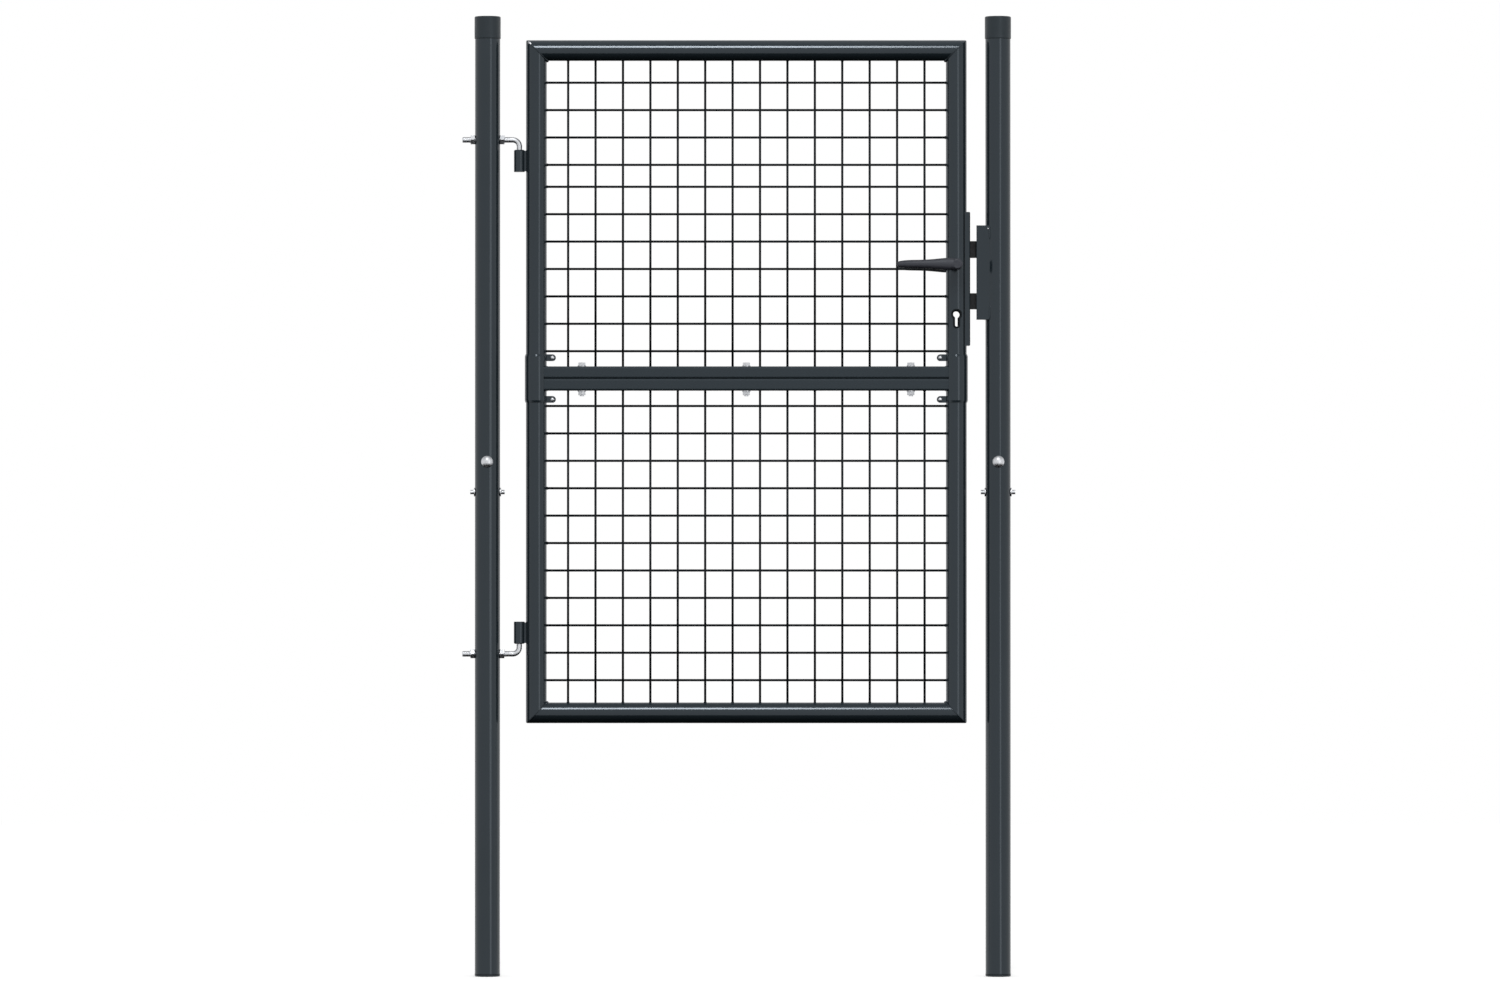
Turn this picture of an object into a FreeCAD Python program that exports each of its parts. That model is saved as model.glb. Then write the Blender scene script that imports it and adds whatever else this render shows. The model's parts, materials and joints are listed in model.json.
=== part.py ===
import FreeCAD, Part
import math
import os

# A garden gate of round steel tube with a welded wire mesh leaf between two posts.
# Millimetres. The origin is the centre of the hinge post's foot: +X runs to the
# lock post, +Y away from the front of the gate and +Z up.

V = FreeCAD.Vector

# Posts
POST_OD = 46.0
POST_WALL = 1.5
POST_HEIGHT = 1750.0
HINGE_REACH = 35.0
LOCK_GAP = 34.0
CAP_HEIGHT = 40.0
CAP_TOP = 3.0
CAP_SKIRT = 0.8
CAP_CLEARANCE = 0.1
CAP_EDGE = 2.0
FOOT_HEIGHT = 4.0
FOOT_SPIGOT = 24.0
FOOT_SPIGOT_WALL = 2.5
FOOT_CLEARANCE = 0.25
FOOT_EDGE = 0.8

# Hinges
UPPER_PIN_INSET = 182.0
LOWER_PIN_INSET = 126.5
PIN_OD = 10.0
PIN_CLEARANCE = 0.08
PIN_BEND = 12.0
PIN_DROP = 18.3
PIN_TAIL = 23.0
PIN_END_GAP = 0.3
PIN_CHAMFER = 1.0
PIN_HOLE_CLEARANCE = 0.3
BARREL_OD = 20.0
BARREL_LENGTH = 40.5
BARREL_END = 6.0
BARREL_EDGE = 1.5
BARREL_END_EDGE = 0.8
BARREL_STANDOFF = 2.0
BARREL_WEB = 8.0
PIN_NUT_AF = 16.0
PIN_NUT_THICKNESS = 8.0
THREAD_GAP = 0.05

# How near to a place an edge lies when it is picked there
NEAR = 0.5

# Leaf frame
LEAF_WIDTH = 804.0
LEAF_BELOW_POST_TOP = 43.0
LEAF_HEIGHT = 1246.0
LOWER_HALF_HEIGHT = 628.5
FRAME_OD = 38.0
FRAME_WALL = 1.5
FRAME_CORNER = 4.0
MID_RAIL_HEIGHT = 22.0
MID_RAIL_DEPTH = 30.0
MID_RAIL_WALL = 1.5
MID_RAIL_CORNER = 4.0

# Wire mesh
WIRE_OD = 4.0
WIRE_SIDES = 8
WIRE_PITCH = 50.0
WIRE_SHORT_PITCH = 40.0
WIRES_BEFORE_SHORT_PITCH = 7
WIRE_SINK = 0.4
MESH_EDGE = 28.0
MESH_EDGE_LEAST = 20.0

# Clamping sleeves round both stiles
SLEEVE_LENGTH = 88.0
SLEEVE_WALL = 2.0
SLEEVE_CLEARANCE = 0.1
SLEEVE_TAPER = 4.0
SLEEVE_TAPER_DEPTH = 1.2
SLEEVE_RAIL_GAP = 1.0
EAR_GAP = 14.0
EAR_WALL = 2.2
EAR_RADIUS = 6.0
EAR_REACH = 10.5
EAR_SCREW_OD = 5.0
EAR_HEAD_OD = 8.4
EAR_HEAD_HEIGHT = 3.0
EAR_NUT_AF = 8.0
EAR_NUT_THICKNESS = 4.0
EAR_SCREW_TAIL = 2.0

# Bolts that join the two halves at the middle rails
RAIL_BOLT_OD = 8.0
RAIL_BOLT_MARGIN = 64.0
RAIL_BOLTS = 3
RAIL_BOLT_TAIL = 2.2
BOLT_HEAD_AF = 13.0
BOLT_HEAD_HEIGHT = 5.5
BOLT_NUT_THICKNESS = 6.5
WASHER_OD = 16.0
WASHER_THICKNESS = 1.6
HOLE_CLEARANCE = 0.3

# Bolts through the posts
FRONT_BOLT_HEIGHT = 937.5
FRONT_BOLT_HEAD_OD = 21.5
FRONT_BOLT_HEAD_HEIGHT = 5.0
SIDE_BOLT_HEIGHT = 882.5
SIDE_BOLT_TAIL = 6.8

# Lock
LOCK_RISE = 59.5
LOCK_BOX_HEIGHT = 244.0
LOCK_BOX_WIDTH = 24.0
LOCK_BOX_WALL = 2.0
LOCK_BOX_REACH = 6.0
LOCK_BOX_INSET = 5.5
LOCK_BOX_EDGE = 1.4
FACEPLATE_THICKNESS = 3.0
CASE_CLEARANCE = 0.2
CASE_END_MARGIN = 12.0
CASE_WALL = 1.5
GUIDE_WALL = 2.0
BOLT_WIDTH = 14.0
BOLT_SLIDE_CLEARANCE = 0.3
BOLT_THROW = 20.0
LATCH_ABOVE_SPINDLE = 28.5
LATCH_SIZE = 30.4
LATCH_LENGTH = 34.0
LATCH_BEVEL = 10.0
LATCH_NOSE = 4.0
LATCH_TRAVEL = 18.0
DEAD_BOLT_ABOVE_KEYHOLE = 24.1
DEAD_BOLT_SIZE = 29.2
DEAD_BOLT_LENGTH = 32.0
DEAD_BOLT_EDGE = 1.5
DEAD_BOLT_TRAVEL = 19.0
KEYHOLE_BELOW_SPINDLE = 90.0
KEYHOLE_OD = 17.0
KEYHOLE_SLOT = 10.0
KEYHOLE_TOTAL = 33.0

# Handle
SPINDLE_IN_BOX = 147.3
SPINDLE_SIZE = 8.0
SPINDLE_CLEARANCE = 0.25
SPINDLE_SOCKET = 24.0
NECK_OD = 18.0
NECK_CLEARANCE = 0.5
NECK_LENGTH = 20.0
HUB_OD = 20.6
HUB_EDGE = 4.0
LEVER_STANDOFF = 43.0
LEVER_LENGTH = 108.6
LEVER_DEPTH = 14.0
LEVER_SWELL_AT = 34.0
LEVER_SWELL_HEIGHT = 19.8
LEVER_TIP_HEIGHT = 11.0
LEVER_TIP_DEPTH = 9.0
LEVER_TIP_SETBACK = 5.0
LEVER_TIP_ROUND = 4.0

# Keeper on the lock post
KEEPER_ABOVE_LATCH = 28.3
KEEPER_BELOW_DEAD_BOLT = 19.5
KEEPER_WALL = 3.0
KEEPER_FACE = 17.0
KEEPER_TO_LOCK = 11.3
KEEPER_LEG_BACK = 8.0
KEEPER_LEG_REACH = 2.8
KEEPER_SEAT = 1.0
KEEPER_EDGE = 0.7

# Places worked out from the sizes above
POST_R = POST_OD / 2
FRAME_R = FRAME_OD / 2
WIRE_R = WIRE_OD / 2
TUBE_TOP = POST_HEIGHT - CAP_TOP
HINGE_X = POST_R + HINGE_REACH
LEAF_LEFT = HINGE_X + BARREL_OD / 2 + BARREL_STANDOFF
LEAF_RIGHT = LEAF_LEFT + LEAF_WIDTH
LEAF_MIDDLE = (LEAF_LEFT + LEAF_RIGHT) / 2
LEAF_TOP = POST_HEIGHT - LEAF_BELOW_POST_TOP
LEAF_BOTTOM = LEAF_TOP - LEAF_HEIGHT
SPLIT = LEAF_BOTTOM + LOWER_HALF_HEIGHT
LEFT_STILE_X = LEAF_LEFT + FRAME_R
RIGHT_STILE_X = LEAF_RIGHT - FRAME_R
LOCK_POST_X = LEAF_RIGHT + LOCK_GAP + POST_R
UPPER_PIN_Z = LEAF_TOP - UPPER_PIN_INSET
LOWER_PIN_Z = LEAF_BOTTOM + LOWER_PIN_INSET
UPPER_CLEAR = (SPLIT + MID_RAIL_HEIGHT, LEAF_TOP - FRAME_OD)
LOWER_CLEAR = (LEAF_BOTTOM + FRAME_OD, SPLIT - MID_RAIL_HEIGHT)
EAR_LEVEL = SLEEVE_LENGTH / 2 - EAR_RADIUS
LOCK_FRONT = LEAF_RIGHT + LOCK_BOX_REACH
LOCK_BACK = RIGHT_STILE_X - FRAME_R + FRAME_WALL + LOCK_BOX_INSET
LOCK_BOX_BOTTOM = SPLIT + LOCK_RISE
LOCK_BOX_TOP = LOCK_BOX_BOTTOM + LOCK_BOX_HEIGHT
SPINDLE_Z = LOCK_BOX_BOTTOM + SPINDLE_IN_BOX
LATCH_Z = SPINDLE_Z + LATCH_ABOVE_SPINDLE
KEYHOLE_Z = SPINDLE_Z - KEYHOLE_BELOW_SPINDLE
DEAD_BOLT_Z = KEYHOLE_Z + DEAD_BOLT_ABOVE_KEYHOLE
BOLT_TIP = LOCK_FRONT + BOLT_THROW
LEVER_Y = -(FRAME_R + LEVER_STANDOFF - LEVER_DEPTH / 2)
KEEPER_LEFT = LOCK_FRONT + KEEPER_TO_LOCK
KEEPER_BOTTOM = DEAD_BOLT_Z - DEAD_BOLT_SIZE / 2 - KEEPER_BELOW_DEAD_BOLT
KEEPER_TOP = LATCH_Z + LATCH_SIZE / 2 + KEEPER_ABOVE_LATCH


def box(x0, x1, y0, y1, z0, z1):
    return Part.makeBox(x1 - x0, y1 - y0, z1 - z0, V(x0, y0, z0))


def rod(diameter, start, direction, length):
    return Part.makeCylinder(diameter / 2, length, start, direction)


def pipe(diameter, wall, start, direction, length):
    outer = rod(diameter, start, direction, length)
    return outer.cut(rod(diameter - 2 * wall, start, direction, length))


def prism(points, direction):
    """Solid swept along a direction from a closed outline of points."""
    outline = Part.makePolygon(points + [points[0]])
    return Part.Face(outline).extrude(direction)


def hexagon(across_flats, start, direction, thickness):
    """Hexagonal solid for a bolt head or a nut, with a flat facing sideways."""
    radius = across_flats / 2 / math.cos(math.pi / 6)
    side = V(0, 1, 0) if abs(direction.y) < 0.5 else V(0, 0, 1)
    other = direction.cross(side)
    points = []
    for corner in range(6):
        angle = math.pi / 3 * corner
        points.append(start + side * (radius * math.cos(angle)) + other * (radius * math.sin(angle)))
    return prism(points, direction * thickness)


def nut(across_flats, hole, start, direction, thickness):
    """Hexagonal nut with its corners turned off and a clear hole."""
    body = hexagon(across_flats, start, direction, thickness)
    corner = across_flats / math.cos(math.pi / 6)
    rounding = rod(corner, start, direction, thickness)
    ends = [edge for edge in rounding.Edges if edge.Closed]
    rounding = rounding.makeChamfer((corner - across_flats) / 2, ends)
    body = body.common(rounding)
    return body.cut(rod(hole, start, direction, thickness))


def washer(outer, hole, start, direction, thickness):
    disc = rod(outer, start, direction, thickness)
    return disc.cut(rod(hole, start, direction, thickness))


def revolved(points, centre, axis):
    outline = Part.makePolygon(points + [points[0]])
    return Part.Face(outline).revolve(centre, axis, 360)


def dome(diameter, height, start, direction):
    """Low domed bolt head whose flat side lies at the start point."""
    ball_radius = (diameter ** 2 / 4 + height ** 2) / (2 * height)
    centre = start + direction * (height - ball_radius)
    ball = Part.makeSphere(ball_radius, centre)
    return ball.common(rod(diameter, start, direction, height))


def post_bolt_holes(x):
    """What the front bolt and the side bolt take out of a post."""
    hole = RAIL_BOLT_OD + 2 * HOLE_CLEARANCE
    across = rod(hole, V(x, -POST_OD, FRONT_BOLT_HEIGHT), V(0, 1, 0), 2 * POST_OD)
    along = rod(hole, V(x - POST_OD, 0, SIDE_BOLT_HEIGHT), V(1, 0, 0), 2 * POST_OD)
    return [across, along]


def post(x):
    tube = pipe(POST_OD, POST_WALL, V(x, 0, FOOT_HEIGHT), V(0, 0, 1), TUBE_TOP - FOOT_HEIGHT)
    return tube.cut(post_bolt_holes(x))


def hinge_post():
    holes = []
    for height in (UPPER_PIN_Z, LOWER_PIN_Z):
        holes.append(rod(PIN_OD + 2 * PIN_HOLE_CLEARANCE, V(-POST_OD, 0, height), V(1, 0, 0), 2 * POST_OD))
    return post(0).cut(holes)


def post_cap(x):
    """Cap whose skirt hangs round the tube and whose top lies on its rim."""
    bottom = POST_HEIGHT - CAP_HEIGHT
    outer = rod(POST_OD + 2 * (CAP_CLEARANCE + CAP_SKIRT), V(x, 0, bottom), V(0, 0, 1), CAP_HEIGHT)
    top_edge = [edge for edge in outer.Edges if edge.Closed and edge.BoundBox.ZMin > bottom + CAP_HEIGHT / 2]
    outer = outer.makeFillet(CAP_EDGE, top_edge)
    return outer.cut(rod(POST_OD + 2 * CAP_CLEARANCE, V(x, 0, bottom), V(0, 0, 1), CAP_HEIGHT - CAP_TOP))


def post_foot(x):
    """Plug under the tube: a disc that carries it and a hollow spigot inside it."""
    disc = rod(POST_OD, V(x, 0, 0), V(0, 0, 1), FOOT_HEIGHT)
    lower_edge = [edge for edge in disc.Edges if edge.Closed and edge.BoundBox.ZMax < FOOT_HEIGHT / 2]
    disc = disc.makeChamfer(FOOT_EDGE, lower_edge)
    spigot_od = POST_OD - 2 * POST_WALL - 2 * FOOT_CLEARANCE
    spigot = pipe(spigot_od, FOOT_SPIGOT_WALL, V(x, 0, FOOT_HEIGHT), V(0, 0, 1), FOOT_SPIGOT)
    return disc.fuse(spigot)


def post_bolts(x):
    """Domed bolt facing the front with its nut behind, and the side bolt below it."""
    front = V(x, -POST_R, FRONT_BOLT_HEIGHT)
    back = V(x, POST_R, FRONT_BOLT_HEIGHT)
    away = V(0, 1, 0)
    shank = rod(RAIL_BOLT_OD, front, away, POST_OD + BOLT_NUT_THICKNESS + RAIL_BOLT_TAIL)
    bolt = dome(FRONT_BOLT_HEAD_OD, FRONT_BOLT_HEAD_HEIGHT, front, V(0, -1, 0)).fuse(shank)
    hole = RAIL_BOLT_OD + 2 * THREAD_GAP
    pieces = [bolt, nut(BOLT_HEAD_AF, hole, back, away, BOLT_NUT_THICKNESS)]
    reach = POST_R + WASHER_THICKNESS + SIDE_BOLT_TAIL
    pieces.append(rod(RAIL_BOLT_OD, V(x - reach, 0, SIDE_BOLT_HEIGHT), V(1, 0, 0), 2 * reach))
    for side in (-1, 1):
        seat = V(x + side * POST_R, 0, SIDE_BOLT_HEIGHT)
        pieces.append(washer(WASHER_OD, hole, seat, V(side, 0, 0), WASHER_THICKNESS))
    return Part.makeCompound(pieces)


def hinge_pin(height, turn):
    """Bent hinge rod through the post: turn is -1 where it bends down, 1 where up."""
    start = -POST_R - PIN_TAIL
    bend_x = HINGE_X - PIN_BEND
    level = rod(PIN_OD, V(start, 0, height), V(1, 0, 0), bend_x - start)
    tail_end = [edge for edge in level.Edges if edge.Closed and edge.BoundBox.XMax < start + NEAR]
    level = level.makeChamfer(PIN_CHAMFER, tail_end)
    section = Part.Face(Part.Wire(Part.makeCircle(PIN_OD / 2, V(bend_x, 0, height), V(1, 0, 0))))
    bend = section.revolve(V(bend_x, 0, height + turn * PIN_BEND), V(0, -turn, 0), 90)
    length = PIN_DROP + BARREL_LENGTH - BARREL_END - PIN_END_GAP - PIN_BEND
    upright = rod(PIN_OD, V(HINGE_X, 0, height + turn * PIN_BEND), V(0, 0, turn), length)
    tip_z = height + turn * (PIN_BEND + length)
    tip = [edge for edge in upright.Edges if edge.Closed and abs(edge.BoundBox.ZMin - tip_z) < NEAR]
    upright = upright.makeChamfer(PIN_CHAMFER, tip)
    return level.fuse([bend, upright]).removeSplitter()


def hinge_pin_nuts():
    pieces = []
    for height in (UPPER_PIN_Z, LOWER_PIN_Z):
        for side in (-1, 1):
            seat = V(side * POST_R, 0, height)
            pieces.append(nut(PIN_NUT_AF, PIN_OD + 2 * THREAD_GAP, seat, V(side, 0, 0), PIN_NUT_THICKNESS))
    return Part.makeCompound(pieces)


def hinge_barrel(height, turn):
    """Blind barrel with its mouth towards the bent rod and a web to the stile."""
    mouth = V(HINGE_X, 0, height + turn * PIN_DROP)
    inward = V(0, 0, turn)
    barrel = rod(BARREL_OD, mouth, inward, BARREL_LENGTH)
    edge_at_mouth = [e for e in barrel.Edges if e.Closed and abs(e.BoundBox.ZMin - mouth.z) < NEAR]
    barrel = barrel.makeChamfer(BARREL_EDGE, edge_at_mouth)
    end_z = mouth.z + turn * BARREL_LENGTH
    edge_at_end = [e for e in barrel.Edges if e.Closed and abs(e.BoundBox.ZMin - end_z) < NEAR]
    barrel = barrel.makeChamfer(BARREL_END_EDGE, edge_at_end)
    low = min(mouth.z, mouth.z + turn * BARREL_LENGTH)
    web = box(HINGE_X, LEFT_STILE_X, -BARREL_WEB / 2, BARREL_WEB / 2,
              low + BARREL_EDGE, low + BARREL_LENGTH - BARREL_EDGE)
    web = web.cut(stile_solid(LEFT_STILE_X))
    bore = rod(PIN_OD + 2 * PIN_CLEARANCE, mouth, inward, BARREL_LENGTH - BARREL_END)
    return barrel.fuse(web).cut(bore).removeSplitter()


def stile_solid(x):
    return rod(FRAME_OD, V(x, 0, LEAF_BOTTOM), V(0, 0, 1), LEAF_HEIGHT)


def rail_solid(z):
    return rod(FRAME_OD, V(LEAF_LEFT, 0, z), V(1, 0, 0), LEAF_WIDTH)


def leaf_outline():
    """Slab as large as the leaf's front, with its four corners rounded."""
    slab = box(LEAF_LEFT, LEAF_RIGHT, -FRAME_OD, FRAME_OD, LEAF_BOTTOM, LEAF_TOP)
    corners = [edge for edge in slab.Edges if edge.BoundBox.YLength > FRAME_OD]
    return slab.makeFillet(FRAME_CORNER, corners)


def mitre(tube, corners):
    """Keep the part of a tube inside an outline drawn on the gate's front."""
    points = [V(x, -FRAME_OD, z) for x, z in corners]
    return tube.common(prism(points, V(0, 2 * FRAME_OD, 0))).common(leaf_outline())


def end_rail(outer_z, inner_z):
    """Top or bottom rail with both ends mitred."""
    tube = pipe(FRAME_OD, FRAME_WALL, V(LEAF_LEFT, 0, (outer_z + inner_z) / 2), V(1, 0, 0), LEAF_WIDTH)
    corners = [(LEAF_LEFT, outer_z), (LEAF_RIGHT, outer_z)]
    corners += [(LEAF_RIGHT - FRAME_OD, inner_z), (LEAF_LEFT + FRAME_OD, inner_z)]
    return mitre(tube, corners)


def half_stile(x, outer_x, inner_x, outer_z, inner_z):
    """Stile of one half, from the split to its mitred corner."""
    low = min(outer_z, SPLIT)
    tube = pipe(FRAME_OD, FRAME_WALL, V(x, 0, low), V(0, 0, 1), abs(outer_z - SPLIT))
    return mitre(tube, [(outer_x, outer_z), (inner_x, inner_z), (inner_x, SPLIT), (outer_x, SPLIT)])


def left_stile(outer_z, inner_z):
    return half_stile(LEFT_STILE_X, LEAF_LEFT, LEAF_LEFT + FRAME_OD, outer_z, inner_z)


def right_stile(outer_z, inner_z):
    return half_stile(RIGHT_STILE_X, LEAF_RIGHT, LEAF_RIGHT - FRAME_OD, outer_z, inner_z)


def upper_right_stile():
    """Lock stile: slotted for the lock box and drilled for the neck and the key."""
    stile = right_stile(LEAF_TOP, LEAF_TOP - FRAME_OD)
    neck = rod(NECK_OD + 2 * NECK_CLEARANCE, V(RIGHT_STILE_X, -FRAME_OD, SPINDLE_Z), V(0, 1, 0), 2 * FRAME_OD)
    return stile.cut([lock_box_outline(), neck, keyhole()])


def rail_profile(height, depth, corner, x, middle_z):
    """Outline of a rail with rounded corners, as a face square to X."""
    y = depth / 2
    z = height / 2
    reach = corner * (1 - math.sqrt(0.5))
    edges = []
    turns = [(1, 1), (-1, 1), (-1, -1), (1, -1)]
    for index, (sy, sz) in enumerate(turns):
        along_z = V(x, sy * y, middle_z + sz * (z - corner))
        along_y = V(x, sy * (y - corner), middle_z + sz * z)
        middle = V(x, sy * (y - reach), middle_z + sz * (z - reach))
        if index % 2 == 0:
            first, last = along_z, along_y
        else:
            first, last = along_y, along_z
        edges.append(Part.Arc(first, middle, last).toShape())
        next_sy, next_sz = turns[(index + 1) % 4]
        if index % 2 == 0:
            following = V(x, next_sy * (y - corner), middle_z + next_sz * z)
        else:
            following = V(x, next_sy * y, middle_z + next_sz * (z - corner))
        edges.append(Part.LineSegment(last, following).toShape())
    return Part.Face(Part.Wire(edges))


def mid_rail(middle_z):
    """Flat-sided rail at the split, its ends shaped to the round stiles."""
    x = LEFT_STILE_X
    length = RIGHT_STILE_X - LEFT_STILE_X
    outer = rail_profile(MID_RAIL_HEIGHT, MID_RAIL_DEPTH, MID_RAIL_CORNER, x, middle_z)
    inner_corner = max(MID_RAIL_CORNER - MID_RAIL_WALL, MID_RAIL_WALL / 3)
    inner = rail_profile(MID_RAIL_HEIGHT - 2 * MID_RAIL_WALL, MID_RAIL_DEPTH - 2 * MID_RAIL_WALL,
                         inner_corner, x, middle_z)
    rail = outer.extrude(V(length, 0, 0)).cut(inner.extrude(V(length, 0, 0)))
    holes = [rod(RAIL_BOLT_OD + 2 * HOLE_CLEARANCE, V(at, 0, SPLIT - 2 * MID_RAIL_HEIGHT), V(0, 0, 1),
                 4 * MID_RAIL_HEIGHT) for at in rail_bolt_places()]
    return rail.cut([stile_solid(LEFT_STILE_X), stile_solid(RIGHT_STILE_X)] + holes)


def rail_bolt_places():
    first = LEAF_LEFT + FRAME_OD + RAIL_BOLT_MARGIN
    last = LEAF_RIGHT - FRAME_OD - RAIL_BOLT_MARGIN
    return [first + (last - first) * index / (RAIL_BOLTS - 1) for index in range(RAIL_BOLTS)]


def rail_bolts():
    """Hexagonal bolts with washers and nuts, from above through both middle rails."""
    down = V(0, 0, -1)
    pieces = []
    hole = RAIL_BOLT_OD + 2 * THREAD_GAP
    for x in rail_bolt_places():
        upper_seat = V(x, 0, SPLIT + MID_RAIL_HEIGHT)
        lower_seat = V(x, 0, SPLIT - MID_RAIL_HEIGHT)
        head_seat = upper_seat - down * WASHER_THICKNESS
        nut_seat = lower_seat + down * WASHER_THICKNESS
        length = head_seat.z - nut_seat.z + BOLT_NUT_THICKNESS + RAIL_BOLT_TAIL
        head = nut(BOLT_HEAD_AF, RAIL_BOLT_OD, head_seat, V(0, 0, 1), BOLT_HEAD_HEIGHT)
        shank = rod(RAIL_BOLT_OD, head_seat + V(0, 0, BOLT_HEAD_HEIGHT), down, length + BOLT_HEAD_HEIGHT)
        pieces.append(head.fuse(shank).removeSplitter())
        pieces.append(washer(WASHER_OD, hole, upper_seat, V(0, 0, 1), WASHER_THICKNESS))
        pieces.append(washer(WASHER_OD, hole, lower_seat, down, WASHER_THICKNESS))
        pieces.append(nut(BOLT_HEAD_AF, hole, nut_seat, down, BOLT_NUT_THICKNESS))
    return Part.makeCompound(pieces)


def wire(start, along, length):
    """Mesh wire as a bar of few sides with flats to the front and the back."""
    radius = WIRE_R / math.cos(math.pi / WIRE_SIDES)
    depth = V(0, 1, 0)
    side = along.cross(depth)
    points = []
    for corner in range(WIRE_SIDES):
        angle = 2 * math.pi * (corner + 0.5) / WIRE_SIDES
        points.append(start + depth * (radius * math.cos(angle)) + side * (radius * math.sin(angle)))
    return prism(points, along * length)


def upright_places():
    """Places of the upright wires, centred between the stiles."""
    clear = LEAF_WIDTH - 2 * FRAME_OD
    gaps = int((clear - 2 * MESH_EDGE_LEAST) / WIRE_PITCH)
    first = LEAF_MIDDLE - WIRE_PITCH * gaps / 2
    return [first + WIRE_PITCH * index for index in range(gaps + 1)]


def upper_row_places():
    """Heights of the level wires of the upper mesh: one pitch is shorter."""
    low, high = UPPER_CLEAR
    places = [low + MESH_EDGE]
    while True:
        pitch = WIRE_SHORT_PITCH if len(places) == WIRES_BEFORE_SHORT_PITCH else WIRE_PITCH
        following = places[-1] + pitch
        if following > high - MESH_EDGE_LEAST:
            return places
        places.append(following)


def lower_row_places():
    low, high = LOWER_CLEAR
    gaps = int((high - MESH_EDGE - low - MESH_EDGE_LEAST) / WIRE_PITCH)
    return [high - MESH_EDGE - WIRE_PITCH * index for index in range(gaps + 1)]


def mesh(rows, low_end, high_end, rail):
    """Welded mesh: uprights in front, level wires behind, fused where they cross."""
    offset = (WIRE_OD - WIRE_SINK) / 2
    uprights = [wire(V(x, -offset, low_end), V(0, 0, 1), high_end - low_end) for x in upright_places()]
    width = RIGHT_STILE_X - LEFT_STILE_X
    levels = [wire(V(LEFT_STILE_X, offset, z), V(1, 0, 0), width) for z in rows]
    fused = uprights[0].fuse(uprights[1:] + levels)
    return fused.cut([stile_solid(LEFT_STILE_X), stile_solid(RIGHT_STILE_X), rail]).removeSplitter()


def upper_mesh():
    rail_z = LEAF_TOP - FRAME_R
    return mesh(upper_row_places(), SPLIT + MID_RAIL_HEIGHT, rail_z, rail_solid(rail_z))


def lower_mesh():
    rail_z = LEAF_BOTTOM + FRAME_R
    return mesh(lower_row_places(), rail_z, SPLIT - MID_RAIL_HEIGHT, rail_solid(rail_z))


def sleeve(x, inward):
    """Clamping sleeve: a tapered shell round the stile, open towards the leaf's
    middle, with a pair of ears above and below the middle rails."""
    inner = FRAME_R + SLEEVE_CLEARANCE
    outer = inner + SLEEVE_WALL
    half = SLEEVE_LENGTH / 2
    profile = [V(x + inner, 0, SPLIT - half), V(x + outer - SLEEVE_TAPER_DEPTH, 0, SPLIT - half)]
    profile += [V(x + outer, 0, SPLIT - half + SLEEVE_TAPER), V(x + outer, 0, SPLIT + half - SLEEVE_TAPER)]
    profile += [V(x + outer - SLEEVE_TAPER_DEPTH, 0, SPLIT + half), V(x + inner, 0, SPLIT + half)]
    shell = revolved(profile, V(x, 0, 0), V(0, 0, 1))
    far = x + inward * 2 * outer
    low_x = min(x, far)
    high_x = max(x, far)
    shell = shell.cut(box(low_x, high_x, -EAR_GAP / 2, EAR_GAP / 2, SPLIT - half, SPLIT + half))
    rail_half = MID_RAIL_DEPTH / 2 + SLEEVE_RAIL_GAP
    ear_inner = EAR_LEVEL - EAR_RADIUS
    shell = shell.cut(box(low_x, high_x, -rail_half, rail_half, SPLIT - ear_inner, SPLIT + ear_inner))
    ears = []
    for level in (-EAR_LEVEL, EAR_LEVEL):
        for side in (-1, 1):
            ears.append(ear(x, inward, SPLIT + level, side))
    joined = shell.fuse(ears)
    holes = [rod(EAR_SCREW_OD + 2 * THREAD_GAP, V(ear_screw_x(x, inward), -FRAME_OD, SPLIT + level),
                 V(0, 1, 0), 2 * FRAME_OD) for level in (-EAR_LEVEL, EAR_LEVEL)]
    return joined.cut([stile_solid(x)] + holes).removeSplitter()


def ear_screw_x(x, inward):
    return x + inward * (FRAME_R + EAR_REACH)


def ear(x, inward, z, side):
    """One flat ear with a round end; side is -1 in front and 1 behind."""
    root = x + inward * FRAME_R * math.cos(math.asin(EAR_GAP / FRAME_OD))
    end = ear_screw_x(x, inward)
    y0 = min(side * EAR_GAP / 2, side * (EAR_GAP / 2 + EAR_WALL))
    flat = box(min(root, end), max(root, end), y0, y0 + EAR_WALL, z - EAR_RADIUS, z + EAR_RADIUS)
    tip = rod(2 * EAR_RADIUS, V(end, y0, z), V(0, 1, 0), EAR_WALL)
    return flat.fuse(tip)


def sleeve_screws(x, inward):
    """Round-headed screws from the front through both ears, with nuts behind."""
    pieces = []
    front = -EAR_GAP / 2 - EAR_WALL
    hole = EAR_SCREW_OD + 2 * THREAD_GAP
    for level in (-EAR_LEVEL, EAR_LEVEL):
        seat = V(ear_screw_x(x, inward), front, SPLIT + level)
        back = V(seat.x, -front, seat.z)
        length = -2 * front + EAR_NUT_THICKNESS + EAR_SCREW_TAIL
        shank = rod(EAR_SCREW_OD, seat, V(0, 1, 0), length)
        pieces.append(dome(EAR_HEAD_OD, EAR_HEAD_HEIGHT, seat, V(0, -1, 0)).fuse(shank))
        pieces.append(nut(EAR_NUT_AF, hole, back, V(0, 1, 0), EAR_NUT_THICKNESS))
    return Part.makeCompound(pieces)


def lock_box_outline():
    half = LOCK_BOX_WIDTH / 2
    return box(LOCK_BACK, LOCK_FRONT, -half, half, LOCK_BOX_BOTTOM, LOCK_BOX_TOP)


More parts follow.
